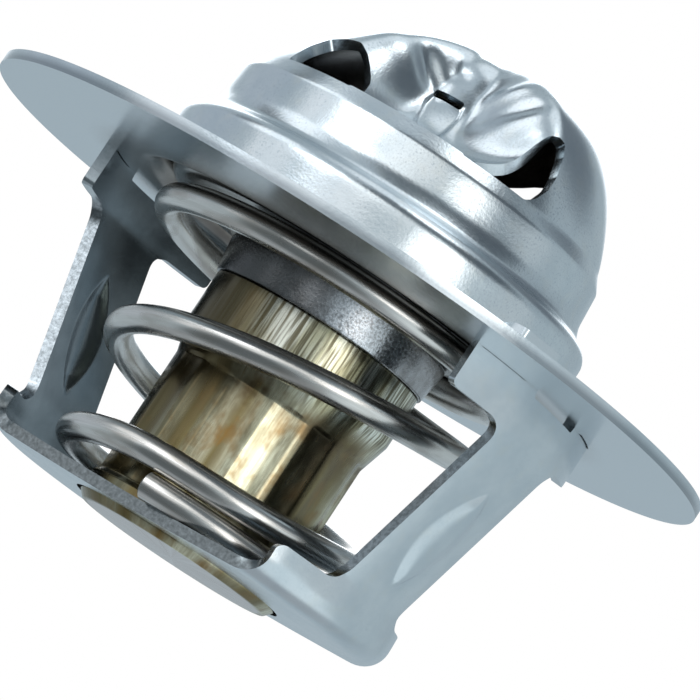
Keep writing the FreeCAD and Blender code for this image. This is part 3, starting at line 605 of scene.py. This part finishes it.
def make_spring():
    wire = 0.975
    ang = np.linspace(-79, 1190, 760)
    r = spline([c[0] for c in COIL], [c[1] for c in COIL], ang)
    z = -18.17 + spline([c[0] for c in COIL], [c[2] for c in COIL], ang)
    for _ in range(30):                    # takes the kinks out of the height's slope
        r[1:-1] = 0.25 * r[:-2] + 0.5 * r[1:-1] + 0.25 * r[2:]
        z[1:-1] = 0.25 * z[:-2] + 0.5 * z[1:-1] + 0.25 * z[2:]
    a = np.radians(ang)
    c = np.stack([r * np.cos(a), r * np.sin(a), z], 1)
    t = np.gradient(c, axis=0)
    t /= np.linalg.norm(t, axis=1)[:, None]
    out = np.stack([np.cos(a), np.sin(a), 0 * a], 1)
    out -= t * (out * t).sum(1)[:, None]
    out /= np.linalg.norm(out, axis=1)[:, None]
    up = np.cross(t, out)
    m = 40
    verts, faces = [], []
    caps = [wire - 0.1, wire]
    rings = [(0, caps[0], 0.0), (0, wire, 0.1)] + [(i, wire, 0.0) for i in range(2, len(c) - 2)] \
        + [(len(c) - 1, wire, -0.1), (len(c) - 1, caps[0], 0.0)]
    length = 0.0
    along = []
    last = None
    for i, rad, push in rings:
        p = c[i] + t[i] * push
        if last is not None:
            length += float(np.linalg.norm(p - last))
        last = p
        for k in range(m):
            b = 2 * math.pi * k / m
            verts.append(p + out[i] * rad * math.cos(b) + up[i] * rad * math.sin(b))
            along.append((length, k / m))
    for i in range(len(rings) - 1):
        for k in range(m):
            j = (k + 1) % m
            faces.append((i * m + k, i * m + j, (i + 1) * m + j, (i + 1) * m + k))
    faces.append(tuple(range(m))[::-1])
    faces.append(tuple((len(rings) - 1) * m + k for k in range(m)))
    ob = make_object("spring_wire", verts, faces, "bridge", slot="spring_wire", nodes=("return_spring",))
    lay = ob.data.uv_layers.new(name="along")
    for poly in ob.data.polygons:
        for li in poly.loop_indices:
            v = ob.data.loops[li].vertex_index
            lay.data[li].uv = (along[v][0] / 10.0, along[v][1])
    sharpen(ob, 30)
    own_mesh(ob)
    return ob


spring = make_spring()

# ------------------------------------------- valve plate, hub collar, capsule
valve_path = fillet_path([
    (10.5, 0.05, 0), (11.6, 0.38, 0.5), (14.1, 0.38, 1.1), (14.45, 4.3, 0.12), (13.65, 4.4, 0.12),
    (13.25, 1.18, 0.4), (11.45, 1.18, 0.6), (8.4, 0.2, 0.3), (7.05, 0.2, 0.05), (7.05, -0.6, 0.05),
    (8.5, -0.6, 0.3), (10.5, 0.05, 0)], 12.0)
valve = lathe("valve_disc", densify(valve_path, 0.6)[:-1], 256, "valve",
              slot="zinc_steel", nodes=("valve_plate",))
sharpen(valve, 38)

hub_path = fillet_path([
    (7.05, -2.0, 0), (7.05, -3.23, 0.1), (7.9, -3.23, 0.12), (8.3, -0.65, 0.22), (7.05, -0.65, 0.05),
    (7.05, -2.0, 0)], 15.0)
hub = lathe("hub_ring", densify(hub_path, 0.25)[:-1], 240, "valve", slot="dark_steel", nodes=("hub_collar",))
sharpen(hub, 50)

FLUTES = 16


def flute_shift(a, r, z):
    """Crimped flutes between the band and the foot, each a little different."""
    if r < 6.9 or z > -8.9 or z < -18.3:
        return r, z
    k = int(math.floor(a / (2 * math.pi) * FLUTES + 0.5)) % FLUTES
    mid = 2 * math.pi * k / FLUTES
    da = ((a - mid + math.pi) % (2 * math.pi) - math.pi) * 7.12
    vary = math.sin(k * 12.9898) * 0.5
    length = 5.6 + 0.35 * vary
    u = (z + 13.4 - 0.25 * math.sin(k * 7.1)) / length
    w = da / (1.18 + 0.12 * math.sin(k * 3.7))
    q = (1 - min(1.0, abs(u)) ** 6) * max(0.0, 1 - w * w)
    return r - (0.15 + 0.11 * math.sin(k * 2.3)) * q ** 1.3, z


cup_path = fillet_path([
    (0.0, -20.57, 0), (7.0, -20.45, 0.2), (7.45, -19.95, 0.2), (7.45, -18.5, 0.15), (7.12, -18.15, 0.2),
    (7.12, -9.1, 0.5), (7.75, -6.9, 0.7), (7.75, -3.25, 0.12), (7.0, -3.25, 0.05), (7.0, 2.3, 0.2),
    (5.3, 2.3, 0.1), (5.3, 1.7, 0.1), (6.1, 1.55, 0.05), (6.1, -9.1, 0.2), (6.27, -9.5, 0.2),
    (6.27, -19.6, 0.3), (0.0, -19.6, 0)], 14.0)


def fill_wall(path):
    out = [path[0]]
    for a, b in zip(path[:-1], path[1:]):
        d = math.hypot(b[0] - a[0], b[1] - a[1])
        wall = a[0] > 7.0 and b[0] > 7.0 and abs(a[1] - b[1]) > 2 and a[1] < -8
        k = max(1, int(math.ceil(d / (0.16 if wall else 0.8))))
        out += [(a[0] + (b[0] - a[0]) * j / k, a[1] + (b[1] - a[1]) * j / k) for j in range(1, k + 1)]
    return out


cup = lathe("capsule_shell", fill_wall(cup_path), 480, "valve", shift=flute_shift, closed=False,
            slot="cup_brass", nodes=("capsule_cup",))
sharpen(cup, 45)


# ------------------------------------------------------------------- materials
class Graph:
    """Short notation for shader nodes."""

    def __init__(self, name):
        self.mat = bpy.data.materials.new(name)
        self.mat.use_nodes = True
        self.nt = self.mat.node_tree
        self.nt.nodes.clear()
        self.out = self.nt.nodes.new("ShaderNodeOutputMaterial")
        self.bsdf = self.nt.nodes.new("ShaderNodeBsdfPrincipled")
        self.nt.links.new(self.bsdf.outputs[0], self.out.inputs[0])
        tc = self.nt.nodes.new("ShaderNodeTexCoord")
        self.coord = self.vec("MULTIPLY", tc.outputs["Object"], (1000, 1000, 1000))
        self.uv = tc.outputs["UV"]

    def _in(self, sock, val):
        if isinstance(val, bpy.types.NodeSocket):
            self.nt.links.new(val, sock)
        elif isinstance(val, (tuple, list)) and len(val) == 3 and sock.type == "RGBA":
            sock.default_value = tuple(val) + (1.0,)
        else:
            sock.default_value = val

    def vec(self, op, a, b=(0, 0, 0), c=None):
        n = self.nt.nodes.new("ShaderNodeVectorMath")
        n.operation = op
        self._in(n.inputs[0], a)
        self._in(n.inputs[1], b)
        return n.outputs["Value"] if op in ("DOT_PRODUCT", "LENGTH", "DISTANCE") else n.outputs["Vector"]

    def math(self, op, a, b=0.0, c=0.0, clamp=False):
        n = self.nt.nodes.new("ShaderNodeMath")
        n.operation = op
        n.use_clamp = clamp
        self._in(n.inputs[0], a)
        self._in(n.inputs[1], b)
        self._in(n.inputs[2], c)
        return n.outputs[0]

    def xyz(self, v):
        n = self.nt.nodes.new("ShaderNodeSeparateXYZ")
        self._in(n.inputs[0], v)
        return n.outputs

    def combine(self, x, y, z):
        n = self.nt.nodes.new("ShaderNodeCombineXYZ")
        for s, v in zip(n.inputs, (x, y, z)):
            self._in(s, v)
        return n.outputs[0]

    def noise(self, v, scale, detail=2.0, rough=0.5, distort=0.0):
        n = self.nt.nodes.new("ShaderNodeTexNoise")
        self._in(n.inputs["Vector"], v)
        n.inputs["Scale"].default_value = scale
        n.inputs["Detail"].default_value = detail
        n.inputs["Roughness"].default_value = rough
        n.inputs["Distortion"].default_value = distort
        return n.outputs["Fac"]

    def cells(self, v, scale, feature="F1"):
        n = self.nt.nodes.new("ShaderNodeTexVoronoi")
        n.feature = feature
        self._in(n.inputs["Vector"], v)
        n.inputs["Scale"].default_value = scale
        return n.outputs["Distance"]

    def ramp(self, fac, stops):
        n = self.nt.nodes.new("ShaderNodeValToRGB")
        self._in(n.inputs[0], fac)
        el = n.color_ramp.elements
        while len(el) < len(stops):
            el.new(0.5)
        for e, (p, c) in zip(el, stops):
            e.position = p
            e.color = (c, c, c, 1) if isinstance(c, (int, float)) else tuple(c) + (1,)
        return n.outputs[0]

    def rng(self, v, a, b, c=0.0, d=1.0, smooth=False):
        n = self.nt.nodes.new("ShaderNodeMapRange")
        n.interpolation_type = "SMOOTHSTEP" if smooth else "LINEAR"
        for s, x in zip(n.inputs, (v, a, b, c, d)):
            self._in(s, x)
        return n.outputs[0]

    def mix(self, fac, a, b, blend="MIX"):
        n = self.nt.nodes.new("ShaderNodeMix")
        n.data_type = "RGBA"
        n.blend_type = blend
        self._in(n.inputs[0], fac)
        self._in(n.inputs[6], a)
        self._in(n.inputs[7], b)
        return n.outputs[2]

    def bump(self, height, strength, dist, normal=None):
        n = self.nt.nodes.new("ShaderNodeBump")
        self._in(n.inputs["Height"], height)
        n.inputs["Strength"].default_value = strength
        n.inputs["Distance"].default_value = dist * MM
        if normal is not None:
            self._in(n.inputs["Normal"], normal)
        return n.outputs[0]

    def cylinder(self, v=None):
        """(angle in radians, radius, height) round the object's axis."""
        x, y, z = self.xyz(v or self.coord)
        return self.math("ARCTAN2", y, x), self.math("SQRT", self.math(
            "ADD", self.math("MULTIPLY", x, x), self.math("MULTIPLY", y, y))), z

    def set(self, **kw):
        for k, v in kw.items():
            self._in(self.bsdf.inputs[k.replace("_", " ")], v)


def zinc(kind="sheet"):
    g = Graph("zinc_" + kind)
    c = g.coord
    grain = g.noise(c, 5.0, 2.0, 0.55)
    cloud = g.noise(c, 0.28, 3.0, 0.6)
    fleck = g.noise(c, 7.0, 1.0, 0.5)
    z = g.xyz(c)[2]
    upper = g.rng(z, -1.0, 2.0)            # the drawn shoulder is grainier than the legs
    col = g.mix(g.rng(cloud, 0.35, 0.68), (0.60, 0.665, 0.705), (0.69, 0.74, 0.77))
    col = g.mix(g.math("MULTIPLY", g.rng(fleck, 0.60, 0.74), g.rng(upper, 0.0, 1.0, 0.25, 1.0)), col,
                (0.54, 0.60, 0.65))
    tint = g.noise(c, 0.8, 2.0, 0.5)
    col = g.mix(g.rng(tint, 0.55, 0.75, 0.0, 0.3), col, (0.68, 0.70, 0.67))
    if kind == "inner":                    # painted shade in the dome and under the shoulder, darkest inside 15 mm radius
        col = g.mix(g.rng(cloud, 0.3, 0.7), (0.15, 0.135, 0.12), (0.30, 0.28, 0.26))
        col = g.mix(g.rng(g.cylinder()[1], 15.0, 20.5, 0.0, 1.0, True), col, (0.62, 0.68, 0.72))
    if kind == "back":                     # painted shade on the inner side of the stamped frame
        col = g.mix(g.rng(cloud, 0.3, 0.7), (0.17, 0.20, 0.22), (0.27, 0.31, 0.335))
    if kind == "edge":                     # broken edge of the stamped frame
        tear = g.noise(c, 3.2, 3.0, 0.7)
        col = g.mix(g.rng(tear, 0.35, 0.7), (0.115, 0.13, 0.135), (0.24, 0.268, 0.283))
        col = g.mix(g.math("MULTIPLY", g.rng(z, -18.5, -16.5), g.rng(tear, 0.40, 0.68, 0.3, 0.7)), col,
                    (0.54, 0.585, 0.62))
        col = g.mix(g.rng(z, -3.5, -2.5), col, (0.60, 0.665, 0.705))
    if kind == "rim":
        col = g.mix(g.rng(cloud, 0.3, 0.7), (0.58, 0.64, 0.68), (0.68, 0.74, 0.78))
        col = g.mix(g.math("MULTIPLY", g.rng(g.cylinder()[1], 26.0, 26.3), g.rng(z, 0.62, 0.2)), col,
                    (0.34, 0.38, 0.41))
    if kind == "valve":                    # the plate is darker than the sheet
        col = g.mix(g.rng(cloud, 0.3, 0.7), (0.17, 0.165, 0.155), (0.33, 0.33, 0.32))
    rough = g.rng(fleck, 0.3, 0.75, 0.2, 0.27)
    g.set(Base_Color=col, Metallic=1.0, Roughness=rough)
    fine = g.math("MULTIPLY", grain, g.rng(upper, 0.0, 1.0, 0.3, 1.0))
    b = g.bump(grain, 0.3, 0.012) if kind == "edge" else g.bump(fine, 0.38, 0.018)
    b = g.bump(g.noise(c, 0.7, 2.0), 0.16, 0.08, b)
    g.set(Normal=b)
    return g.mat


def wire_steel():
    g = Graph("drawn_wire")
    u, v, _ = g.xyz(g.uv)
    lines = g.noise(g.combine(g.math("MULTIPLY", u, 1.2), g.math("MULTIPLY", v, 26.0), 0.0), 1.0, 3.0, 0.6)
    stain = g.noise(g.combine(g.math("MULTIPLY", u, 2.6), g.math("MULTIPLY", v, 5.0), 3.0), 1.0, 2.0, 0.5)
    col = g.mix(g.rng(lines, 0.3, 0.7), (0.64, 0.625, 0.60), (0.76, 0.75, 0.725))
    col = g.mix(g.rng(stain, 0.45, 0.75), col, (0.46, 0.43, 0.39))
    g.set(Base_Color=col, Metallic=1.0, Roughness=g.rng(stain, 0.3, 0.7, 0.2, 0.32))
    g.set(Normal=g.bump(lines, 0.25, 0.012))
    return g.mat


def dark_hub():
    g = Graph("dark_turned_steel")
    c = g.coord
    pit = g.noise(c, 5.5, 2.0, 0.6)
    soot = g.noise(c, 0.7, 3.0, 0.6)
    col = g.mix(g.rng(soot, 0.35, 0.65), (0.32, 0.315, 0.315), (0.50, 0.505, 0.52))
    # painted shade: the hub's side at azimuth about -123 degrees goes near black
    col = g.mix(g.rng(g.math("COSINE", g.math("ADD", g.cylinder()[0], 2.15)), 0.50, 0.92, 0.0, 0.93, True),
                col, (0.07, 0.07, 0.07))
    # painted highlight: a speckled bluish-white glint at azimuth about -36 degrees
    glint_speckle = g.rng(g.math("COSINE", g.math("ADD", g.cylinder()[0], 0.62)), 0.86, 0.99, 0.0, 1.0, True)
    glint_speckle = g.math("MULTIPLY", glint_speckle, g.rng(pit, 0.35, 0.6))
    col = g.mix(glint_speckle, col, (0.86, 0.89, 0.93))
    g.set(Base_Color=col, Metallic=1.0, Roughness=g.rng(pit, 0.3, 0.7, 0.18, 0.30))
    g.set(Normal=g.bump(pit, 0.55, 0.02))
    return g.mat


def brass():
    g = Graph("dulled_brass")
    a, r, z = g.cylinder()
    band = g.rng(z, -8.6, -7.2)            # the turned band above the fluted wall
    strip = g.noise(g.combine(g.math("MULTIPLY", a, 34.0), g.math("MULTIPLY", z, 0.2), r), 1.0, 2.0, 0.6)
    wide = g.noise(g.combine(g.math("MULTIPLY", a, 5.5), g.math("MULTIPLY", z, 0.10), 5.0), 1.0, 2.0, 0.5)
    stain = g.noise(g.combine(g.math("MULTIPLY", a, 4.0), g.math("MULTIPLY", z, 0.35), 2.0), 1.0, 3.0, 0.6)
    # dull ground with painted highlight streaks down the wall
    col = g.mix(g.rng(wide, 0.34, 0.66), (0.15, 0.115, 0.045), (0.34, 0.28, 0.125))
    highlight_streaks = 0.0
    for az, half, share in ((-101, 7, 0.45), (-77, 8, 0.6), (-47, 17, 0.92), (-22, 7, 0.3), (18, 13, 0.8),
                            (57, 10, 0.6), (95, 15, 0.9), (139, 11, 0.7), (171, 9, 0.5), (-148, 12, 0.8)):
        near = g.math("COSINE", g.math("ADD", a, -math.radians(az)))
        near = g.rng(near, math.cos(math.radians(half * 1.25)), math.cos(math.radians(half * 0.3)),
                     0.0, share, True)
        highlight_streaks = g.math("MAXIMUM", highlight_streaks, near)
    glint_speckle = g.noise(g.combine(g.math("MULTIPLY", a, 9.0), g.math("MULTIPLY", z, 0.30), 7.0), 1.0, 3.0, 0.6)
    highlight_streaks = g.math("MULTIPLY", highlight_streaks, g.rng(glint_speckle, 0.30, 0.56, 0.45, 1.0))
    col = g.mix(highlight_streaks, col, (0.85, 0.84, 0.63))
    col = g.mix(g.rng(stain, 0.50, 0.66, 0.0, 0.8), col, (0.30, 0.165, 0.045))
    # the band: bright with fine striations
    col = g.mix(band, col, g.mix(g.rng(wide, 0.36, 0.62), (0.55, 0.52, 0.34), (0.90, 0.92, 0.82)))
    dark = g.mix(band, (0.25, 0.20, 0.11), (0.12, 0.10, 0.05))
    col = g.mix(g.math("MULTIPLY", g.rng(strip, 0.42, 0.58, 0.9, 0.0), g.rng(band, 0.0, 1.0, 0.35, 1.0)), col, dark)
    soot = g.noise(g.coord, 0.45, 3.0, 0.6)
    high = g.rng(z, -12.5, -9.3)           # browner under the shoulder
    high = g.math("MULTIPLY", g.math("MULTIPLY", high, g.rng(z, -7.6, -8.8)), g.rng(soot, 0.3, 0.55))
    col = g.mix(g.math("MULTIPLY", high, g.rng(highlight_streaks, 0.3, 1.0, 0.95, 0.35)), col, (0.13, 0.09, 0.045))
    # painted shade on the capsule's side at azimuth about -126 degrees, strongest at the band
    side = g.rng(g.math("COSINE", g.math("ADD", a, 2.2)), 0.42, 0.92, 0.0, 0.96, True)
    side = g.math("MULTIPLY", side, g.rng(z, -13.5, -8.0, 0.55, 1.0))
    col = g.mix(side, col, (0.09, 0.07, 0.035))
    # painted shade on the capsule's right side, azimuth about -6 degrees, below the band
    right = g.rng(g.math("COSINE", g.math("ADD", a, 0.1)), 0.82, 0.98, 0.0, 0.4, True)
    col = g.mix(g.math("MULTIPLY", right, g.rng(z, -7.2, -8.6)), col, (0.21, 0.185, 0.13))
    foot = g.math("MULTIPLY", g.rng(z, -20.1, -20.25), g.rng(r, 6.75, 6.55))
    col = g.mix(foot, col, (0.60, 0.53, 0.50))
    g.set(Base_Color=col, Metallic=1.0, Roughness=g.rng(glint_speckle, 0.3, 0.7, 0.18, 0.30))
    g.set(Normal=g.bump(g.math("MULTIPLY", strip, g.rng(band, 0.0, 1.0, 0.35, 1.0)), 0.35, 0.02))
    return g.mat


def plain(name, color, metal, rough, scale):
    g = Graph(name)
    n = g.noise(g.coord, scale, 3.0, 0.6)
    dark = tuple(x * 0.8 for x in color)
    g.set(Base_Color=g.mix(n, dark, color), Metallic=metal, Roughness=g.rng(n, 0.3, 0.7, rough, rough + 0.12))
    g.set(Normal=g.bump(n, 0.3, 0.02))
    return g.mat


def dress(obj, mat):
    obj.data.materials.clear()
    obj.data.materials.append(mat)


zinc_mat, wire_mat, hub_mat, brass_mat = zinc(), wire_steel(), dark_hub(), brass()
rim_mat, edge_mat, inner_shade_mat, back_shade_mat = zinc("rim"), zinc("edge"), zinc("inner"), zinc("back")
for sheet, extra in ((bridge, (rim_mat, inner_shade_mat)), (lower, (edge_mat, back_shade_mat))):
    index = [p.material_index for p in sheet.data.polygons]
    dress(sheet, zinc_mat)
    for mat in extra:
        sheet.data.materials.append(mat)
    sheet.data.polygons.foreach_set("material_index", index)
dress(valve, zinc("valve"))
dress(spring, wire_mat)
dress(hub, hub_mat)
dress(cup, brass_mat)
dress(N["capsule_guide"], plain("guide_brass", (0.55, 0.45, 0.25), 1.0, 0.3, 2.0))
dress(N["piston"], plain("piston_pin", (0.62, 0.63, 0.65), 1.0, 0.16, 6.0))
dress(N["diaphragm"], plain("membrane_rubber", (0.03, 0.03, 0.03), 0.0, 0.55, 4.0))
dress(N["rubber_plug"], plain("plug_rubber", (0.03, 0.03, 0.03), 0.0, 0.55, 4.0))
dress(N["seal_disc"], plain("seal_plastic", (0.85, 0.85, 0.83), 0.0, 0.4, 4.0))
dress(N["wax_charge"], plain("wax_copper", (0.50, 0.28, 0.14), 0.0, 0.5, 3.0))


# ---------------------------------------------------------------------- camera
def camera():
    right = np.array([0.7228, 0.4218, 0.5466])
    up = np.array([-0.3914, -0.4018, 0.8274])
    back = np.array([0.5691, -0.8127, -0.1253])
    loc = back * 350.0
    scale = 15.34
    aim = right * (350.0 - 345.2) / scale + up * (295.2 - 350.0) / scale
    z = loc - aim
    z /= np.linalg.norm(z)
    x = np.cross(up, z)
    x /= np.linalg.norm(x)
    y = np.cross(z, x)
    cam = bpy.data.cameras.new("camera")
    cam.sensor_width = 36.0
    cam.lens = scale * 350.0 / 700.0 * 36.0
    cam.clip_start, cam.clip_end = 0.01, 20.0
    ob = bpy.data.objects.new("camera", cam)
    m = Matrix.Identity(4)
    for i in range(3):
        m[i][0], m[i][1], m[i][2], m[i][3] = x[i], y[i], z[i], loc[i] * MM
    ob.matrix_world = m
    bpy.context.scene.collection.objects.link(ob)
    bpy.context.scene.camera = ob


camera()


# ---------------------------------------------------------------- light
def studio():
    world = bpy.data.worlds.new("studio")
    bpy.context.scene.world = world
    world.use_nodes = True
    nt = world.node_tree
    nt.nodes.clear()
    out = nt.nodes.new("ShaderNodeOutputWorld")
    back = nt.nodes.new("ShaderNodeBackground")
    tc = nt.nodes.new("ShaderNodeTexCoord")

    def lobe(prev, direction, inner, outer, colour):
        """Soft patch of light: full within inner degrees, gone past outer."""
        d = Vector(direction).normalized()
        dot = nt.nodes.new("ShaderNodeVectorMath")
        dot.operation = "DOT_PRODUCT"
        nt.links.new(tc.outputs["Generated"], dot.inputs[0])
        dot.inputs[1].default_value = d
        rng = nt.nodes.new("ShaderNodeMapRange")
        rng.interpolation_type = "SMOOTHSTEP"
        nt.links.new(dot.outputs["Value"], rng.inputs[0])
        rng.inputs[1].default_value = math.cos(math.radians(outer))
        rng.inputs[2].default_value = math.cos(math.radians(inner))
        mix = nt.nodes.new("ShaderNodeMix")
        mix.data_type = "RGBA"
        nt.links.new(rng.outputs[0], mix.inputs[0])
        if prev is None:
            mix.inputs[6].default_value = (0.42, 0.49, 0.53, 1)
        else:
            nt.links.new(prev, mix.inputs[6])
        mix.inputs[7].default_value = tuple(colour) + (1,)
        return mix.outputs[2]
    c = None
    for args in LOBES:
        c = lobe(c, *args)
    ray = nt.nodes.new("ShaderNodeLightPath")
    pick = nt.nodes.new("ShaderNodeMix")
    pick.data_type = "RGBA"
    nt.links.new(ray.outputs["Is Camera Ray"], pick.inputs[0])
    nt.links.new(c, pick.inputs[6])
    pick.inputs[7].default_value = (1, 1, 1, 1)
    nt.links.new(pick.outputs[2], back.inputs[0])
    nt.links.new(back.outputs[0], out.inputs[0])
    sc = bpy.context.scene
    sc.view_settings.view_transform = "Standard"
    sc.view_settings.look = "None"


def toward(az, el):
    """Direction from an azimuth (0 is -Y, 90 is +X) and an elevation."""
    az, el = math.radians(az), math.radians(el)
    return math.sin(az) * math.cos(el), -math.cos(az) * math.cos(el), math.sin(el)


# later patches lie over earlier ones
LOBES = [
    (toward(0, -90), 30, 60, (0.38, 0.42, 0.45)),
    (toward(0, -35), 26, 46, (0.12, 0.14, 0.15)),
    (toward(105, -24), 24, 44, (0.80, 0.90, 0.94)),
    (toward(-145, -10), 22, 42, (0.44, 0.52, 0.57)),
    (toward(146, -8), 16, 34, (0.48, 0.56, 0.60)),
    (toward(109, 8), 8, 20, (0.58, 0.64, 0.67)),
    (toward(90, 40), 14, 28, (0.09, 0.11, 0.13)),
    (toward(-85, 10), 14, 30, (0.48, 0.54, 0.60)),
    (toward(36, 48), 16, 28, (0.12, 0.145, 0.165)),
    (toward(168, 52), 14, 26, (0.17, 0.20, 0.23)),
    (toward(-30, 62), 14, 26, (0.50, 0.57, 0.62)),
    (toward(-50, 35), 9, 19, (1.45, 1.50, 1.55)),
    (toward(-79, 37), 4, 10, (0.12, 0.14, 0.16)),
    (toward(0, 88), 12, 26, (1.0, 1.07, 1.12)),
    (toward(67, 67), 8, 14, (2.4, 2.5, 2.55)),
    (toward(-138, 27), 13, 24, (2.6, 2.7, 2.8)),
    (toward(-38, 8), 8, 16, (1.0, 1.03, 1.06)),
    (toward(5, 9), 10, 20, (0.95, 0.98, 1.0)),
    (toward(32, 18), 6, 14, (1.05, 1.08, 1.08)),
    (toward(62, 6), 10, 19, (2.5, 2.5, 2.45)),
    (toward(16, 22), 7, 15, (1.4, 1.43, 1.43)),
    (toward(-13, 25), 10, 18, (3.0, 3.1, 3.2)),
]
studio()


graph = bpy.context.evaluated_depsgraph_get()
for ob in (bridge, lower, spring, valve, hub, cup):
    me = ob.evaluated_get(graph).to_mesh()
    me.calc_loop_triangles()
